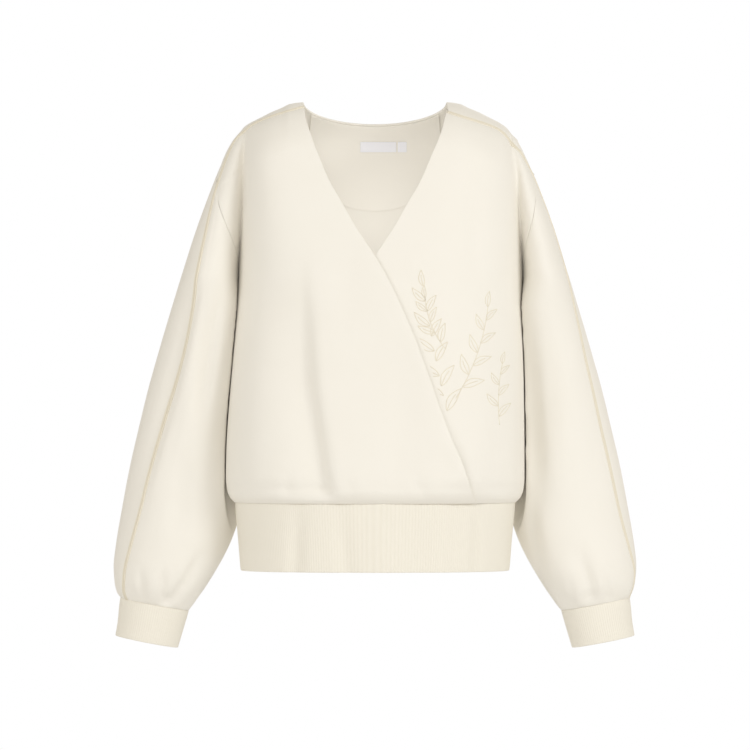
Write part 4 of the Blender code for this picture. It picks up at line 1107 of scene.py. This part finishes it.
# points laid on the inner face of the cloth, a gap away from it
def laidInside(tree, x, z, gap):
    normals = bodyNormals(x, z, True)
    points = bodyPoints(x, z, True)
    for place in np.ndindex(x.shape):
        inside = Vector(points[place] - normals[place] * rayStart)
        hit = tree.ray_cast(inside, Vector(normals[place]))[0]
        points[place] = np.array(hit) - normals[place] * gap
    return points


rayStart = 30.0  # how deep inside the rays start that find the cloth
facingSet = dict(
    half=95.0, depth=130.0, side=20.0, start=0.45, below=1.2, full=0.75,
    columns=90, rows=30, gap=0.5, thick=1.0, round=0.4,
)
turn = np.linspace(facingSet["start"], math.pi - facingSet["start"], facingSet["columns"] + 1)
topEdge = neckOval(turn, facingSet["below"])
lowZ = -facingSet["side"] - (facingSet["depth"] - facingSet["side"]) * np.sin(turn) ** facingSet["full"]
lowEdge = stacked(-facingSet["half"] * np.cos(turn), lowZ)
share = np.linspace(0, 1, facingSet["rows"] + 1)[:, None, None]
flat = topEdge * (1 - share) + lowEdge * share
mesh = meshOf("facing", [laidInside(treeOf(back), flat[..., 0], flat[..., 1], facingSet["gap"])])
faceOut(mesh, towards(1))
facing = thick(piece("facing", mesh, facingMat, "back_facing"), facingSet)

labelSet = dict(top=-43.5, low=-57.0, columns=24, rows=10, gap=0.3, thick=0.8, round=0.3)
facingTree = treeOf(facing)
levels = np.linspace(labelSet["top"], labelSet["low"], labelSet["rows"])
for name, node, start, end in (("wovenLabel", "label", -18.0, 26.0), ("sizeTab", "size_tab", 28.0, 39.0)):
    x, z = np.meshgrid(np.linspace(start, end, labelSet["columns"]), levels)
    mesh = meshOf(name, [laidInside(facingTree, x, z, labelSet["gap"])])
    faceOut(mesh, towards(1))
    thick(piece(name, mesh, labelMat, node), labelSet)

print("embroidery")
threadSet = dict(radius=0.55, sides=6, step=1.3, sunk=0.05, clear=5)
stemPoints = 30
leafSet = dict(points=24, veinPoints=17, curve=0.06, wide=0.34, first=0.16)


def bow(start, aim, long, bend):
    turnBy = np.radians(aim + bend * np.linspace(0, 1, stemPoints))
    steps = stacked(np.cos(turnBy), np.sin(turnBy)) * long / (stemPoints - 1)
    return np.array(start) + np.concatenate([[[0, 0]], np.cumsum(steps[:-1], axis=0)])


# a leaf's two edges and its vein
def leafLines(root, aim, long):
    t = np.linspace(0, 1, leafSet["points"])[:, None]
    along = np.array([math.cos(math.radians(aim)), math.sin(math.radians(aim))])
    aside = along[::-1] * [-1, 1]
    spine = root + t * long * along + np.sin(math.pi * t) * leafSet["curve"] * long * aside
    bulge = np.sin(math.pi * t**0.8) * leafSet["wide"] * long / 2 * aside
    return [spine + bulge, spine - bulge, spine[:leafSet["veinPoints"]]]


def sprig(start, aim, long, bend, leaves, leafLong):
    stem = bow(start, aim, long, bend)
    lines = [stem]
    for i in range(leaves):
        share = leafSet["first"] + (1 - leafSet["first"]) * i / (leaves - 1)
        spread = 0 if i == leaves - 1 else (1 if i % 2 else -1) * (48 - 12 * share)
        size = leafLong * (1.05 - 0.4 * share) * (1 + 0.12 * math.sin(3.1 * i))
        lines += leafLines(stem[int(share * (stemPoints - 1))], aim + bend * share + spread, size)
    return lines


# start across and up, aim in degrees, length, bend, leaves, leaf length
sprigs = [
    ((92, -398), 104, 176, -6, 11, 32),
    ((97, -360), 58, 118, 26, 8, 28),
    ((150, -392), 96, 74, -18, 6, 22),
    ((84, -300), 128, 66, -34, 5, 24),
]


# a line laid on the left front from in front, as far as the wrap's edge
def onChest(line, tree):
    path, normals = [], []
    for x, z in evenly(line, max(4, int(lengthAlong(line)[-1] / threadSet["step"])) - 1):
        hit, normal, _, _ = tree.ray_cast(Vector((x, -300, z)), Vector((0, 1, 0)))
        if x < wrapLine.at("x", z) + threadSet["clear"]:
            break
        path.append(hit)
        normals.append(normal)
    return np.array(path), np.array(normals)


turn = fullTurn(threadSet["sides"])
roundThread = stacked(np.cos(turn), np.sin(turn)) * threadSet["radius"]
chest = treeOf(frontLeft)
threads = []
for spray in sprigs:
    for line in sprig(*spray):
        path, normals = onChest(line, chest)
        if len(path) > 3:
            path = path - normals * threadSet["sunk"]
            way = unit(np.gradient(path, axis=0))
            aside = unit(np.cross(way, normals))
            threads.append(swept(path, aside, np.cross(aside, way), roundThread))
embroidery = piece("embroidery", meshFrom("embroidery", threads), threadPaintedShadeMat, None)

print("light and camera")
scene = bpy.context.scene
scene.view_settings.view_transform = "Standard"
world = bpy.data.worlds.new("studio")
scene.world = world
world.use_nodes = True
sky = Sock(world.node_tree, None)
soft = world.node_tree.nodes["Background"]
soft.inputs["Color"].default_value = (1, 0.95, 0.86, 1)
soft.inputs["Strength"].default_value = 0.56
white = sky.node("ShaderNodeBackground", {}, {"Color": (1, 1, 1, 1), "Strength": 1.0})
seen = sky.node("ShaderNodeLightPath")
both = sky.node("ShaderNodeMixShader", {}, {0: seen, 1: Sock(world.node_tree, soft.outputs[0]), 2: white})
both.to(world.node_tree.nodes["World Output"].inputs["Surface"])


# name, place, target, size, watts, colour; the last one lights the inside of the neck
lamps = [
    ("key", (2.6, -2.4, 0.8), (0, 0, -0.3), 1.2, 38, (0.97, 0.985, 1)),
    ("front", (-0.5, -4.4, 1.5), (0, 0, -0.3), 0.9, 40, (0.97, 0.985, 1)),
    ("side", (-2.6, -2, 0.3), (-0.1, 0, -0.3), 1.2, 13, (1, 1, 1)),
    ("behind", (0.6, 3.2, 1), (0, 0, -0.3), 1.6, 46, (1, 1, 1)),
    ("inside", (0, -0.03, -0.17), (0, 0.075, -0.06), 0.1, 0.09, (1, 1, 1)),
]
for name, place, target, size, watts, colour in lamps:
    data = bpy.data.lights.new(name, "AREA")
    data.size, data.energy, data.color = size, watts, colour
    lamp = placed(name, data)
    lamp.location = place
    lamp.rotation_euler = (Vector(target) - Vector(place)).to_track_quat("-Z", "Y").to_euler()

floorSet = dict(z=-0.95, size=2.0)
bm = bmesh.new(use_operators=True)
bmesh.ops.create_grid(bm, x_segments=1, y_segments=1, size=floorSet["size"])
floor = placed("floor", written(bm, "floor"))
floor.location.z = floorSet["z"]
floorMat, _, _ = newMaterial("floor", dict(colour=(0.9, 0.9, 0.9), rough=0.9))
floor.data.materials.append(floorMat)

cameraSet = dict(lens=276, place=(0, -7.0, -0.332), tilt=90)
camera = placed("camera", bpy.data.cameras.new("camera"))
camera.data.lens = cameraSet["lens"]
camera.location = cameraSet["place"]
camera.rotation_euler = (math.radians(cameraSet["tilt"]), 0, 0)
scene.camera = camera
